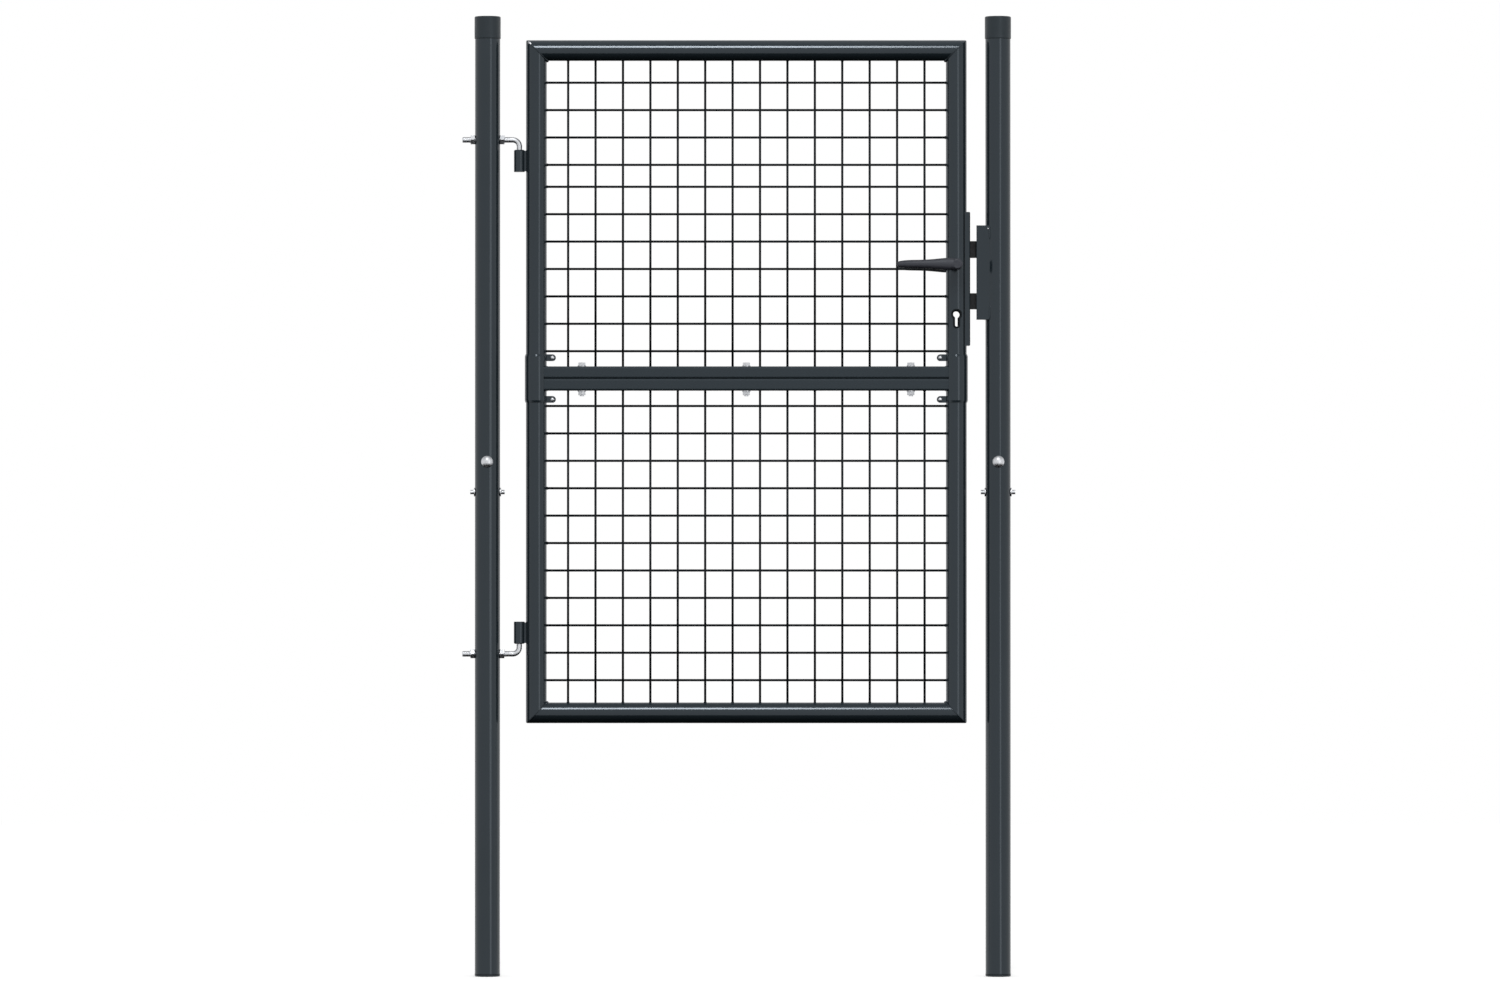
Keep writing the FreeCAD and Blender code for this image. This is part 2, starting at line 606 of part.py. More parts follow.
def keyhole():
    """Through hole for a lock cylinder: a round top with a narrower slot below."""
    centre = V(RIGHT_STILE_X, -FRAME_OD, KEYHOLE_Z)
    away = V(0, 1, 0)
    length = 2 * FRAME_OD
    low = KEYHOLE_Z + KEYHOLE_OD / 2 - KEYHOLE_TOTAL + KEYHOLE_SLOT / 2
    slot = box(centre.x - KEYHOLE_SLOT / 2, centre.x + KEYHOLE_SLOT / 2, centre.y, centre.y + length,
               low, KEYHOLE_Z)
    end = rod(KEYHOLE_SLOT, V(centre.x, centre.y, low), away, length)
    return rod(KEYHOLE_OD, centre, away, length).fuse([slot, end]).removeSplitter()


def bolt_channel(middle_z, size, length, travel):
    """Room for a lock bolt and its travel, open through the faceplate."""
    half_y = BOLT_WIDTH / 2 + BOLT_SLIDE_CLEARANCE
    half_z = size / 2 + BOLT_SLIDE_CLEARANCE
    back = BOLT_TIP - length - travel - BOLT_SLIDE_CLEARANCE
    return box(back, BOLT_TIP, -half_y, half_y, middle_z - half_z, middle_z + half_z)


def bolt_channels():
    return [bolt_channel(LATCH_Z, LATCH_SIZE, LATCH_LENGTH, LATCH_TRAVEL),
            bolt_channel(DEAD_BOLT_Z, DEAD_BOLT_SIZE, DEAD_BOLT_LENGTH, DEAD_BOLT_TRAVEL)]


def spindle_bore():
    radius = SPINDLE_SIZE / math.sqrt(2) + SPINDLE_CLEARANCE
    return rod(2 * radius, V(RIGHT_STILE_X, -FRAME_OD, SPINDLE_Z), V(0, 1, 0), 2 * FRAME_OD)


def lock_box():
    """Welded box let into the stile, open at the front edge."""
    wall = LOCK_BOX_WALL
    half = LOCK_BOX_WIDTH / 2 - wall
    room = box(LOCK_BACK + wall, LOCK_FRONT + wall, -half, half, LOCK_BOX_BOTTOM + wall, LOCK_BOX_TOP - wall)
    outline = lock_box_outline()
    rim = [edge for edge in outline.Edges if edge.BoundBox.XMin > LOCK_FRONT - wall]
    return outline.makeChamfer(LOCK_BOX_EDGE, rim).cut([room, spindle_bore(), keyhole()])


def faceplate():
    half = LOCK_BOX_WIDTH / 2 - LOCK_BOX_WALL
    plate = box(LOCK_FRONT - FACEPLATE_THICKNESS, LOCK_FRONT, -half, half,
                LOCK_BOX_BOTTOM + LOCK_BOX_WALL, LOCK_BOX_TOP - LOCK_BOX_WALL)
    return plate.cut(bolt_channels())


def lock_case():
    """Hollow case behind the faceplate, with a guide round each bolt."""
    half = LOCK_BOX_WIDTH / 2 - LOCK_BOX_WALL - CASE_CLEARANCE
    back = LOCK_BACK + LOCK_BOX_WALL + CASE_CLEARANCE
    front = LOCK_FRONT - FACEPLATE_THICKNESS
    low = LOCK_BOX_BOTTOM + CASE_END_MARGIN
    high = LOCK_BOX_TOP - CASE_END_MARGIN
    case = box(back, front, -half, half, low, high)
    case = case.cut(box(back + CASE_WALL, front - CASE_WALL, -half + CASE_WALL, half - CASE_WALL,
                        low + CASE_WALL, high - CASE_WALL))
    for middle_z, size in ((LATCH_Z, LATCH_SIZE), (DEAD_BOLT_Z, DEAD_BOLT_SIZE)):
        reach = size / 2 + BOLT_SLIDE_CLEARANCE + GUIDE_WALL
        case = case.fuse(box(back, front, -half, half, middle_z - reach, middle_z + reach))
    return case.cut(bolt_channels() + [spindle_bore(), keyhole()]).removeSplitter()


def latch_bolt():
    """Spring latch with one side of its nose bevelled towards the front."""
    half = BOLT_WIDTH / 2
    z = LATCH_Z - LATCH_SIZE / 2
    tail = BOLT_TIP - LATCH_LENGTH
    outline = [V(tail, -half, z), V(BOLT_TIP - LATCH_BEVEL, -half, z), V(BOLT_TIP, half - LATCH_NOSE, z)]
    outline += [V(BOLT_TIP, half, z), V(tail, half, z)]
    return prism(outline, V(0, 0, LATCH_SIZE))


def dead_bolt():
    half = BOLT_WIDTH / 2
    z = DEAD_BOLT_Z - DEAD_BOLT_SIZE / 2
    bolt = box(BOLT_TIP - DEAD_BOLT_LENGTH, BOLT_TIP, -half, half, z, z + DEAD_BOLT_SIZE)
    front = [edge for edge in bolt.Edges if edge.BoundBox.XMin > BOLT_TIP - NEAR]
    return bolt.makeChamfer(DEAD_BOLT_EDGE, front)


def lever_section(x, height, depth, y):
    """Oval outline of the lever, square to its length."""
    long_half = max(height, depth) / 2
    short_half = min(height, depth) / 2
    towards = V(0, 0, 1) if height >= depth else V(0, 1, 0)
    centre = V(x, y, SPINDLE_Z)
    side = V(1, 0, 0).cross(towards)
    oval = Part.Ellipse(centre + towards * long_half, centre + side * short_half, centre)
    return Part.Wire(oval.toShape())


def front_lever():
    """Lever handle: a neck into the stile, a round hub and a tapering grip."""
    x = RIGHT_STILE_X
    z = SPINDLE_Z
    neck_start = -(LOCK_BOX_WIDTH / 2 + SPINDLE_CLEARANCE)
    outer_y = LEVER_Y - LEVER_DEPTH / 2
    shoulder_y = neck_start - NECK_LENGTH
    full_y = shoulder_y - (HUB_OD - NECK_OD)
    profile = [V(x, neck_start, z), V(x + NECK_OD / 2, neck_start, z), V(x + NECK_OD / 2, shoulder_y, z)]
    profile += [V(x + HUB_OD / 2, full_y, z), V(x + HUB_OD / 2, outer_y, z), V(x, outer_y, z)]
    hub = revolved(profile, V(x, 0, z), V(0, 1, 0))
    rim = [e for e in hub.Edges if e.Closed and e.BoundBox.YMax < outer_y + NEAR and e.Length > HUB_OD]
    hub = hub.makeFillet(HUB_EDGE, rim)
    sections = [lever_section(x, HUB_OD, LEVER_DEPTH, LEVER_Y)]
    sections.append(lever_section(x - LEVER_SWELL_AT, LEVER_SWELL_HEIGHT, LEVER_DEPTH, LEVER_Y))
    tip_x = x - LEVER_LENGTH
    middle_x = (x - LEVER_SWELL_AT + tip_x) / 2
    middle_y = LEVER_Y + LEVER_TIP_SETBACK / 4
    middle_height = (LEVER_SWELL_HEIGHT + LEVER_TIP_HEIGHT) / 2
    sections.append(lever_section(middle_x, middle_height, (LEVER_DEPTH + LEVER_TIP_DEPTH) / 2, middle_y))
    tip_y = LEVER_Y + LEVER_TIP_SETBACK
    for inset in (1.0, 0.5, 0.15, 0.0):
        share = 1 - (1 - inset) ** 2 * 0.5
        sections.append(lever_section(tip_x + LEVER_TIP_ROUND * inset, LEVER_TIP_HEIGHT * share,
                                      LEVER_TIP_DEPTH * share, tip_y))
    grip = Part.makeLoft(sections, True, False)
    handle = hub.fuse(grip)
    half = SPINDLE_SIZE / 2
    socket = box(x - half, x + half, neck_start - SPINDLE_SOCKET, neck_start, z - half, z + half)
    return handle.cut(socket)


def back_lever():
    return front_lever().mirror(V(0, 0, 0), V(0, 1, 0))


def spindle():
    half = SPINDLE_SIZE / 2
    reach = LOCK_BOX_WIDTH / 2 + SPINDLE_CLEARANCE + SPINDLE_SOCKET
    return box(RIGHT_STILE_X - half, RIGHT_STILE_X + half, -reach, reach,
               SPINDLE_Z - half, SPINDLE_Z + half)


def keeper():
    """Angled keeper on the lock post: a flange in front of the bolts and a leg
    along the post, welded on both sides and open towards the back."""
    seat = LOCK_POST_X - POST_R
    flange = box(KEEPER_LEFT, LOCK_POST_X, -KEEPER_FACE, -KEEPER_FACE + KEEPER_WALL,
                 KEEPER_BOTTOM, KEEPER_TOP)
    front_edges = [edge for edge in flange.Edges if edge.BoundBox.YMax < -KEEPER_FACE + KEEPER_EDGE
                   and edge.BoundBox.XMin < LOCK_POST_X - KEEPER_EDGE]
    flange = flange.makeChamfer(KEEPER_EDGE, front_edges)
    leg = box(seat - KEEPER_LEG_REACH, seat + KEEPER_SEAT, -KEEPER_FACE, KEEPER_LEG_BACK,
              KEEPER_BOTTOM, KEEPER_TOP)
    post_solid = rod(POST_OD, V(LOCK_POST_X, 0, 0), V(0, 0, 1), POST_HEIGHT)
    return flange.fuse(leg).cut(post_solid).removeSplitter()


def build():
    """Every named piece of the gate at rest, closed and latched."""
    top_inner = LEAF_TOP - FRAME_OD
    bottom_inner = LEAF_BOTTOM + FRAME_OD
    return {
        "hinge_post": hinge_post(),
        "lock_post": post(LOCK_POST_X),
        "hinge_post_cap": post_cap(0),
        "lock_post_cap": post_cap(LOCK_POST_X),
        "hinge_post_foot": post_foot(0),
        "lock_post_foot": post_foot(LOCK_POST_X),
        "hinge_post_bolts": post_bolts(0),
        "lock_post_bolts": post_bolts(LOCK_POST_X),
        "upper_hinge_pin": hinge_pin(UPPER_PIN_Z, -1),
        "lower_hinge_pin": hinge_pin(LOWER_PIN_Z, 1),
        "hinge_pin_nuts": hinge_pin_nuts(),
        "keeper": keeper(),
        "top_rail": end_rail(LEAF_TOP, top_inner),
        "bottom_rail": end_rail(LEAF_BOTTOM, bottom_inner),
        "upper_left_stile": left_stile(LEAF_TOP, top_inner),
        "lower_left_stile": left_stile(LEAF_BOTTOM, bottom_inner),
        "upper_right_stile": upper_right_stile(),
        "lower_right_stile": right_stile(LEAF_BOTTOM, bottom_inner),
        "upper_mid_rail": mid_rail(SPLIT + MID_RAIL_HEIGHT / 2),
        "lower_mid_rail": mid_rail(SPLIT - MID_RAIL_HEIGHT / 2),
        "upper_mesh": upper_mesh(),
        "lower_mesh": lower_mesh(),
        "rail_bolts": rail_bolts(),
        "left_sleeve": sleeve(LEFT_STILE_X, 1),
        "right_sleeve": sleeve(RIGHT_STILE_X, -1),
        "left_sleeve_screws": sleeve_screws(LEFT_STILE_X, 1),
        "right_sleeve_screws": sleeve_screws(RIGHT_STILE_X, -1),
        "upper_hinge_barrel": hinge_barrel(UPPER_PIN_Z, -1),
        "lower_hinge_barrel": hinge_barrel(LOWER_PIN_Z, 1),
        "lock_box": lock_box(),
        "lock_case": lock_case(),
        "faceplate": faceplate(),
        "latch_bolt": latch_bolt(),
        "dead_bolt": dead_bolt(),
        "front_lever": front_lever(),
        "back_lever": back_lever(),
        "spindle": spindle(),
    }


os.makedirs("parts", exist_ok=True)
for name, shape in build().items():
    shape.exportStep("parts/" + name + ".step")
    print(name, len(shape.Solids), "solids", round(shape.Volume), "mm3")
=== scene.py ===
# %% [markdown]
# # A mesh garden gate
#
# This lesson dresses a garden gate of powder-coated steel tube: two posts, a leaf with a
# welded wire mesh, zinc hinge rods and bolts, a lock and black lever handles. The solid
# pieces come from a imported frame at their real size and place. Blender adds the finish of
# every surface, the round wires, the weld beads, the screw threads, the light and the camera.

# %% Load the frame
import json
import math

import bmesh
import bpy
from mathutils import Matrix, Vector


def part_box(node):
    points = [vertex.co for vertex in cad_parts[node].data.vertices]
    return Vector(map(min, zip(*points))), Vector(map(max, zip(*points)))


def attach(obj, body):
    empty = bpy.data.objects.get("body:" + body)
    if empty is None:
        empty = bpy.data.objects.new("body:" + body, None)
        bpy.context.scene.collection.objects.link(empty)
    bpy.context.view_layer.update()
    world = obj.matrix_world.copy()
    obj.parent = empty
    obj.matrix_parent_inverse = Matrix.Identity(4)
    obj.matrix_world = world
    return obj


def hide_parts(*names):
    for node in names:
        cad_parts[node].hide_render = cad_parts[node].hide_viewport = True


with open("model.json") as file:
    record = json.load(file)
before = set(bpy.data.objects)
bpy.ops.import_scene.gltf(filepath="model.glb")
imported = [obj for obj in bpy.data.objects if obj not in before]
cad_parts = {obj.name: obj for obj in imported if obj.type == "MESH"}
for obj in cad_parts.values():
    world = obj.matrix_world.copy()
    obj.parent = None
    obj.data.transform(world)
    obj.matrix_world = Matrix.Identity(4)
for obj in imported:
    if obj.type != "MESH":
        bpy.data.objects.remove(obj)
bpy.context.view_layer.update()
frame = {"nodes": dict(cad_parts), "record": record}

nodes = frame["nodes"]
scene = bpy.context.scene

# %% [markdown]
# ## Sizes that the pieces share
#
# Every added piece sits on a solid, so its place is read from the solid's box and not typed
# in again. Only the sizes that a box can't tell, such as a wire's thickness or a thread's
# pitch, are written here as values, each in the cell that first needs it.

# %% Read the gate's main places
MM = 0.001


def low(node):
    """The lowest corner of a node's box."""
    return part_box(node)[0]


def high(node):
    """The highest corner of a node's box."""
    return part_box(node)[1]


LEAF_LEFT, LEAF_RIGHT = low("top_rail").x, high("top_rail").x
LEAF_BOTTOM, LEAF_TOP = low("bottom_rail").z, high("top_rail").z
TUBE_R = (high("top_rail").y - low("top_rail").y) / 2
LEFT_STILE_X = LEAF_LEFT + TUBE_R
RIGHT_STILE_X = LEAF_RIGHT - TUBE_R
RAIL_LOW, RAIL_HIGH = low("lower_mid_rail").z, high("upper_mid_rail").z
POST_R = (high("hinge_post").x - low("hinge_post").x) / 2
LOCK_POST_X = (low("lock_post").x + high("lock_post").x) / 2
print("leaf", round(LEAF_RIGHT - LEAF_LEFT, 3), "m wide,",
      round(LEAF_TOP - LEAF_BOTTOM, 3), "m tall")

# %% [markdown]
# ## The camera
#
# The gate is seen straight from the front with a long lens, from far away and a little below
# its middle. The picture shows this in small things: the caps' rims look straight, and the
# front lever hides the back one almost wholly. A near camera would bend the rims into arcs and
# show the back lever below the front one.

# %% Place the camera
CAMERA_PLACE = (0.4787, -13.65, 0.7489)
CAMERA_TILT = 0.5  # degrees upwards
LENS = 179.65  # millimetres

camera = bpy.data.objects.new("camera", bpy.data.cameras.new("camera"))
scene.collection.objects.link(camera)
camera.location = CAMERA_PLACE
camera.rotation_euler = (math.radians(90 + CAMERA_TILT), 0, 0)
camera.data.lens = LENS
scene.camera = camera
scene.view_settings.view_transform = "Standard"
print("camera", round(-CAMERA_PLACE[1], 2), "m in front of the gate")

# %% [markdown]
# ## The floor and the white surroundings
#
# The gate stands in front of plain white. A bright lamp on a backdrop would also brighten the
# gate, so the white is made for the rays that look at it. Camera and transmission rays see it
# everywhere. Glossy rays see it too, so that the zinc and the coating mirror the same white,
# only dimmer far above and black steeply below: a dark underside makes a tube look round on
# a white ground. All other rays meet a soft grey room that is bright above and dark below.

# %% Helpers for node trees
def put(tree, node, socket, value):
    """Set or link one input; an index reaches sockets that share a name."""
    target = node.inputs[socket]
    if isinstance(value, bpy.types.NodeSocket):
        tree.links.new(value, target)
    else:
        target.default_value = value


def add(tree, kind, **sockets):
    """A new node with its inputs set or linked; an underscore stands for a space."""
    node = tree.nodes.new(kind)
    for socket, value in sockets.items():
        put(tree, node, socket.replace("_", " "), value)
    return node


def calculate(tree, operation, first, second=0.0):
    """One step of arithmetic on numbers or output sockets."""
    node = tree.nodes.new("ShaderNodeMath")
    node.operation = operation
    put(tree, node, 0, first)
    put(tree, node, 1, second)
    return node.outputs[0]


# %% Helpers for the room
world = bpy.data.worlds.new("studio")
scene.world = world
world.use_nodes = True
room = world.node_tree
room.nodes.clear()
rays = room.nodes.new("ShaderNodeLightPath").outputs
around = room.nodes.new("ShaderNodeTexCoord").outputs["Generated"]
direction = add(room, "ShaderNodeSeparateXYZ", Vector=around)


def ramp_of_height(levels):
    """Grey levels by how steeply a ray points up, from -1 straight down to 1 straight up."""
    share = add(room, "ShaderNodeMapRange", Value=direction.outputs["Z"], From_Min=-1.0)
    ramp = add(room, "ShaderNodeValToRGB", Fac=share.outputs[0])
    stops = ramp.color_ramp.elements
    stops.remove(stops[0])
    for number, (height, grey) in enumerate(levels):
        place = (height + 1) / 2
        stop = stops.new(place) if number else stops[0]
        stop.position = place
        stop.color = (grey, grey, grey, 1)
    return add(room, "ShaderNodeBackground", Color=ramp.outputs["Color"]).outputs[0]


def choose_room(share, first, second):
    """The first room where the share is 0 and the second where it is 1."""
    choice = room.nodes.new("ShaderNodeMixShader")
    for index, value in enumerate((share, first, second)):
        put(room, choice, index, value)
    return choice.outputs[0]


# %% Build the room
GREY_LEVELS = [(-0.1, 0.02), (0.12, 0.4), (1.0, 1.25)]
MIRRORED_LEVELS = [(-0.51, 0.0), (-0.47, 1.0), (0.4, 1.0), (0.7, 0.6)]

grey_room = ramp_of_height(GREY_LEVELS)
mirrored_room = ramp_of_height(MIRRORED_LEVELS)
white_room = add(room, "ShaderNodeBackground", Color=(1, 1, 1, 1)).outputs[0]
seen_through = calculate(room, "MAXIMUM", rays["Is Camera Ray"], rays["Is Transmission Ray"])
lit_room = choose_room(rays["Is Glossy Ray"], grey_room, mirrored_room)
add(room, "ShaderNodeOutputWorld", Surface=choose_room(seen_through, lit_room, white_room))
print("room of", len(room.nodes), "nodes")

# %% [markdown]
# The floor is pale paper with a little glow of its own, so that it reads as white and still
# keeps the soft shadow at the posts' feet. Only camera and transmission rays meet it: the
# room already gives what comes back from below.

# %% Lay the floor
FLOOR_SIDE = 16.0
FLOOR_COLOUR = (0.82, 0.82, 0.82, 1)
FLOOR_GLOW = 0.22


def new_material(name):
    """A material with an empty node tree and its output node."""
    material = bpy.data.materials.new(name)
    material.use_nodes = True
    tree = material.node_tree
    tree.nodes.clear()
    return material, tree, tree.nodes.new("ShaderNodeOutputMaterial")


floor_material, tree, output = new_material("floor")
paper = add(tree, "ShaderNodeBsdfDiffuse", Color=FLOOR_COLOUR)
glow = add(tree, "ShaderNodeEmission", Strength=FLOOR_GLOW)
lit = tree.nodes.new("ShaderNodeAddShader")
put(tree, lit, 0, paper.outputs[0])
put(tree, lit, 1, glow.outputs[0])
put(tree, output, "Surface", lit.outputs[0])

middle_x = LOCK_POST_X / 2
half_side = FLOOR_SIDE / 2
floor_corners = [(middle_x + half_side * right, half_side * back, 0)
                 for right, back in ((-1, -1), (1, -1), (1, 1), (-1, 1))]
sheet = bpy.data.meshes.new("floor")
sheet.from_pydata(floor_corners, [], [(0, 1, 2, 3)])
sheet.materials.append(floor_material)
floor = bpy.data.objects.new("floor", sheet)
scene.collection.objects.link(floor)
floor.visible_glossy = False
floor.visible_diffuse = False
floor.visible_shadow = False
print("floor", FLOOR_SIDE, "m square")

# %% [markdown]
# ## The lamps
#
# One large softbox high in front draws the thin bright line along the top and bottom rails. A
# second one, low and to the right, gives the posts and stiles their soft upright streak. Both
# are area lamps, so their shadows are soft.

# %% Hang the lamps
LAMPS = {
    "high_softbox": {"place": (0.2, -10.5, 11.1), "size": (1.9, 4.6), "watts": 507},
    "right_softbox": {"place": (2.3, -3.5, 1.1), "size": (1.0, 3.8), "watts": 15},
}
AIM = Vector((middle_x, 0, 1.0))

for name, lamp in LAMPS.items():
    light = bpy.data.lights.new(name, "AREA")
    light.shape = "RECTANGLE"
    light.size, light.size_y = lamp["size"]
    light.energy = lamp["watts"]
    holder = bpy.data.objects.new(name, light)
    scene.collection.objects.link(holder)
    holder.location = lamp["place"]
    holder.rotation_euler = (AIM - Vector(lamp["place"])).to_track_quat("-Z", "Y").to_euler()
    print(name, lamp["watts"], "W")

# %% [markdown]
# ## Shared shader effects
#
# Three effects are used by more than one material, so each is a node group with named inputs:
# the skin of a powder coat, the clouds of a plated surface, and the grain of a moulded
# plastic. A group gives back a colour, a roughness and a height. The shader itself, with its
# constant values, stays in each material.

# %% Helpers for node groups
NUMBER, COLOUR = "NodeSocketFloat", "NodeSocketColor"


def new_group(name, inputs, outputs, kind="ShaderNodeTree"):
    """A node group with named sockets, its input node and its output node."""
    group = bpy.data.node_groups.new(name, kind)
    for socket, socket_type, default in inputs:
        made = group.interface.new_socket(socket, in_out="INPUT", socket_type=socket_type)
        if default is not None:
            made.default_value = default
    for socket, socket_type in outputs:
        group.interface.new_socket(socket, in_out="OUTPUT", socket_type=socket_type)
    return group, group.nodes.new("NodeGroupInput"), group.nodes.new("NodeGroupOutput")


def noise(tree, where, scale, detail):
    """Noise texture on given coordinates; the scale is a number or an output socket."""
    return add(tree, "ShaderNodeTexNoise", Vector=where, Scale=scale,
               Detail=detail).outputs["Fac"]


def stretch(tree, value, old, new):
    """Map a value from an old range to a new one, whose ends may be output sockets."""
    return add(tree, "ShaderNodeMapRange", Value=value, From_Min=old[0], From_Max=old[1],
               To_Min=new[0], To_Max=new[1]).outputs["Result"]


def blend_colours(tree, share, first, second):
    """The first colour where the share is 0 and the second where it is 1."""
    node = tree.nodes.new("ShaderNodeMix")
    node.data_type = "RGBA"
    for socket, value in (("Factor", share), ("A", first), ("B", second)):
        put(tree, node, socket, value)
    return node.outputs["Result"]


# %% What every effect gives back
EFFECT_OUTPUTS = [("Color", COLOUR), ("Roughness", NUMBER), ("Height", NUMBER)]
WIDE, NARROW = (0.3, 0.7), (0.35, 0.65)  # ranges in which most values of a noise lie


def give_back(group, inside, outside, share, other_colour, clouds, height):
    """Link the blended colour, the drifting gloss and the height to a group's outputs."""
    sockets = inside.outputs
    colour = blend_colours(group, share, sockets["Colour"], sockets[other_colour])
    gloss = stretch(group, clouds, WIDE, (sockets["Gloss low"], sockets["Gloss high"]))
    for socket, value in (("Color", colour), ("Roughness", gloss), ("Height", height)):
        put(group, outside, socket, value)
    print("group", group.name, len(group.nodes), "nodes")


# %% [markdown]
# ### The skin of a powder coat
#
# Powder melts into a film that is never quite flat: from close by it has the fine dimples of
# an orange's skin, and its gloss drifts a little from place to place. The dimples are a fine
# noise used as height, and slow clouds of noise move both the colour and the roughness.

# %% Powder coat group
coat_skin, inside, outside = new_group("coat_skin", [
    ("Colour", COLOUR, (0.03, 0.035, 0.04, 1)),
    ("Cloud colour", COLOUR, (0.04, 0.045, 0.05, 1)),
    ("Cloud scale", NUMBER, 9.0),
    ("Dimple scale", NUMBER, 420.0),
    ("Gloss low", NUMBER, 0.2),
    ("Gloss high", NUMBER, 0.32),
], EFFECT_OUTPUTS)
SPECK_SCALE = 1500
SPECK_SHARE = 0.2
place = coat_skin.nodes.new("ShaderNodeTexCoord").outputs["Object"]
clouds = noise(coat_skin, place, inside.outputs["Cloud scale"], detail=4)
specks = noise(coat_skin, place, SPECK_SCALE, detail=2)
share = calculate(coat_skin, "ADD", stretch(coat_skin, clouds, WIDE, (0, 1 - SPECK_SHARE)),
                  stretch(coat_skin, specks, NARROW, (0, SPECK_SHARE)))
dimples = noise(coat_skin, place, inside.outputs["Dimple scale"], detail=2)
give_back(coat_skin, inside, outside, share, "Cloud colour", clouds, dimples)

# %% [markdown]
# ### The clouds of a plated surface
#
# Zinc plating is bright but not a mirror: it has dull clouds, fine scratches and tiny pits.
# Two noises, one of them drawn out upwards by a Mapping node, give these.

# %% Plating group
plated_clouds, inside, outside = new_group("plated_clouds", [
    ("Colour", COLOUR, (0.75, 0.76, 0.78, 1)),
    ("Cloud colour", COLOUR, (0.55, 0.57, 0.6, 1)),
    ("Cloud scale", NUMBER, 160.0),
    ("Gloss low", NUMBER, 0.18),
    ("Gloss high", NUMBER, 0.4),
], EFFECT_OUTPUTS)
SCRATCH_SCALE = 2600
SCRATCH_STRETCH = (1.0, 1.0, 0.06)
SCRATCH_SHARE = (0.4, 1)
place = plated_clouds.nodes.new("ShaderNodeTexCoord").outputs["Object"]
clouds = noise(plated_clouds, place, inside.outputs["Cloud scale"], detail=5)
drawn_out = add(plated_clouds, "ShaderNodeMapping", Vector=place, Scale=SCRATCH_STRETCH)
scratches = noise(plated_clouds, drawn_out.outputs[0], SCRATCH_SCALE, detail=3)
share = calculate(plated_clouds, "MULTIPLY", stretch(plated_clouds, clouds, NARROW, (0, 1)),
                  stretch(plated_clouds, scratches, WIDE, SCRATCH_SHARE))
pits = calculate(plated_clouds, "ADD", clouds, scratches)
give_back(plated_clouds, inside, outside, share, "Cloud colour", clouds, pits)

# %% [markdown]
# ### The grain of a moulded plastic
#
# The mould for a lever or a cap is spark-eroded, and the plastic takes a fine pebbled grain
# from it. A smooth Voronoi texture gives rounded cells, and a noise keeps them irregular.

# %% Moulded grain group
moulded_grain, inside, outside = new_group("moulded_grain", [
    ("Colour", COLOUR, (0.03, 0.03, 0.03, 1)),
    ("Worn colour", COLOUR, (0.05, 0.05, 0.05, 1)),
    ("Grain scale", NUMBER, 900.0),
    ("Gloss low", NUMBER, 0.4),
    ("Gloss high", NUMBER, 0.55),
], EFFECT_OUTPUTS)
WEAR_SCALE = 60
SPECKLE_SCALE = 1400
place = moulded_grain.nodes.new("ShaderNodeTexCoord").outputs["Object"]
cells = add(moulded_grain, "ShaderNodeTexVoronoi", Vector=place,
            Scale=inside.outputs["Grain scale"])
cells.feature = "SMOOTH_F1"
clouds = noise(moulded_grain, place, WEAR_SCALE, detail=4)
speckle = noise(moulded_grain, place, SPECKLE_SCALE, detail=2)
share = stretch(moulded_grain, clouds, NARROW, (0, 1))
pebbles = calculate(moulded_grain, "ADD", cells.outputs["Distance"], speckle)
give_back(moulded_grain, inside, outside, share, "Worn colour", clouds, pebbles)

# %% [markdown]
# ## The materials
#
# Each finish places one of the groups with its own values, turns the height into a bump of a
# real depth in microns, and adds its constants on the shader. The gate has six: the coated
# tubes, the coated wires, the zinc of the rods and bolts, the dark steel of the lock, the
# plastic of the caps and the plastic of the levers.

# %% Build a finish from a group
MICRON = 0.001 * MM


def finish_from(name, group, values, microns, metallic, specular, tint=(1, 1, 1, 1)):
    """A material that feeds one effect group into a Principled shader."""
    material, tree, output = new_material(name)
    effect = tree.nodes.new("ShaderNodeGroup")
    effect.node_tree = group
    for socket, value in values.items():
        put(tree, effect, socket, value)
    bump = add(tree, "ShaderNodeBump", Strength=1.0, Distance=microns * MICRON,
               Height=effect.outputs["Height"])
    shader = add(tree, "ShaderNodeBsdfPrincipled", Base_Color=effect.outputs["Color"],
                 Roughness=effect.outputs["Roughness"], Normal=bump.outputs["Normal"],
                 Metallic=metallic, Specular_IOR_Level=specular, Specular_Tint=tint)
    put(tree, output, "Surface", shader.outputs[0])
    return material


# %% [markdown]
# The coat is anthracite, so its highlights are tinted towards blue. The middle rails carry the
# same coat with a matt surface: no bright line runs along them in the picture, as it does
# along the top and bottom rails.

# %% Mix the coats
ANTHRACITE_TINT = (0.81, 0.905, 1.0, 1)
TUBE_COAT = {"Colour": (0.0165, 0.0245, 0.0305, 1), "Cloud colour": (0.0205, 0.029, 0.0355, 1),
             "Cloud scale": 7.0, "Dimple scale": 380.0}
WIRE_COAT = {"Colour": (0.0085, 0.0105, 0.0125, 1), "Cloud colour": (0.0125, 0.015, 0.017, 1),
             "Cloud scale": 25.0, "Dimple scale": 600.0}

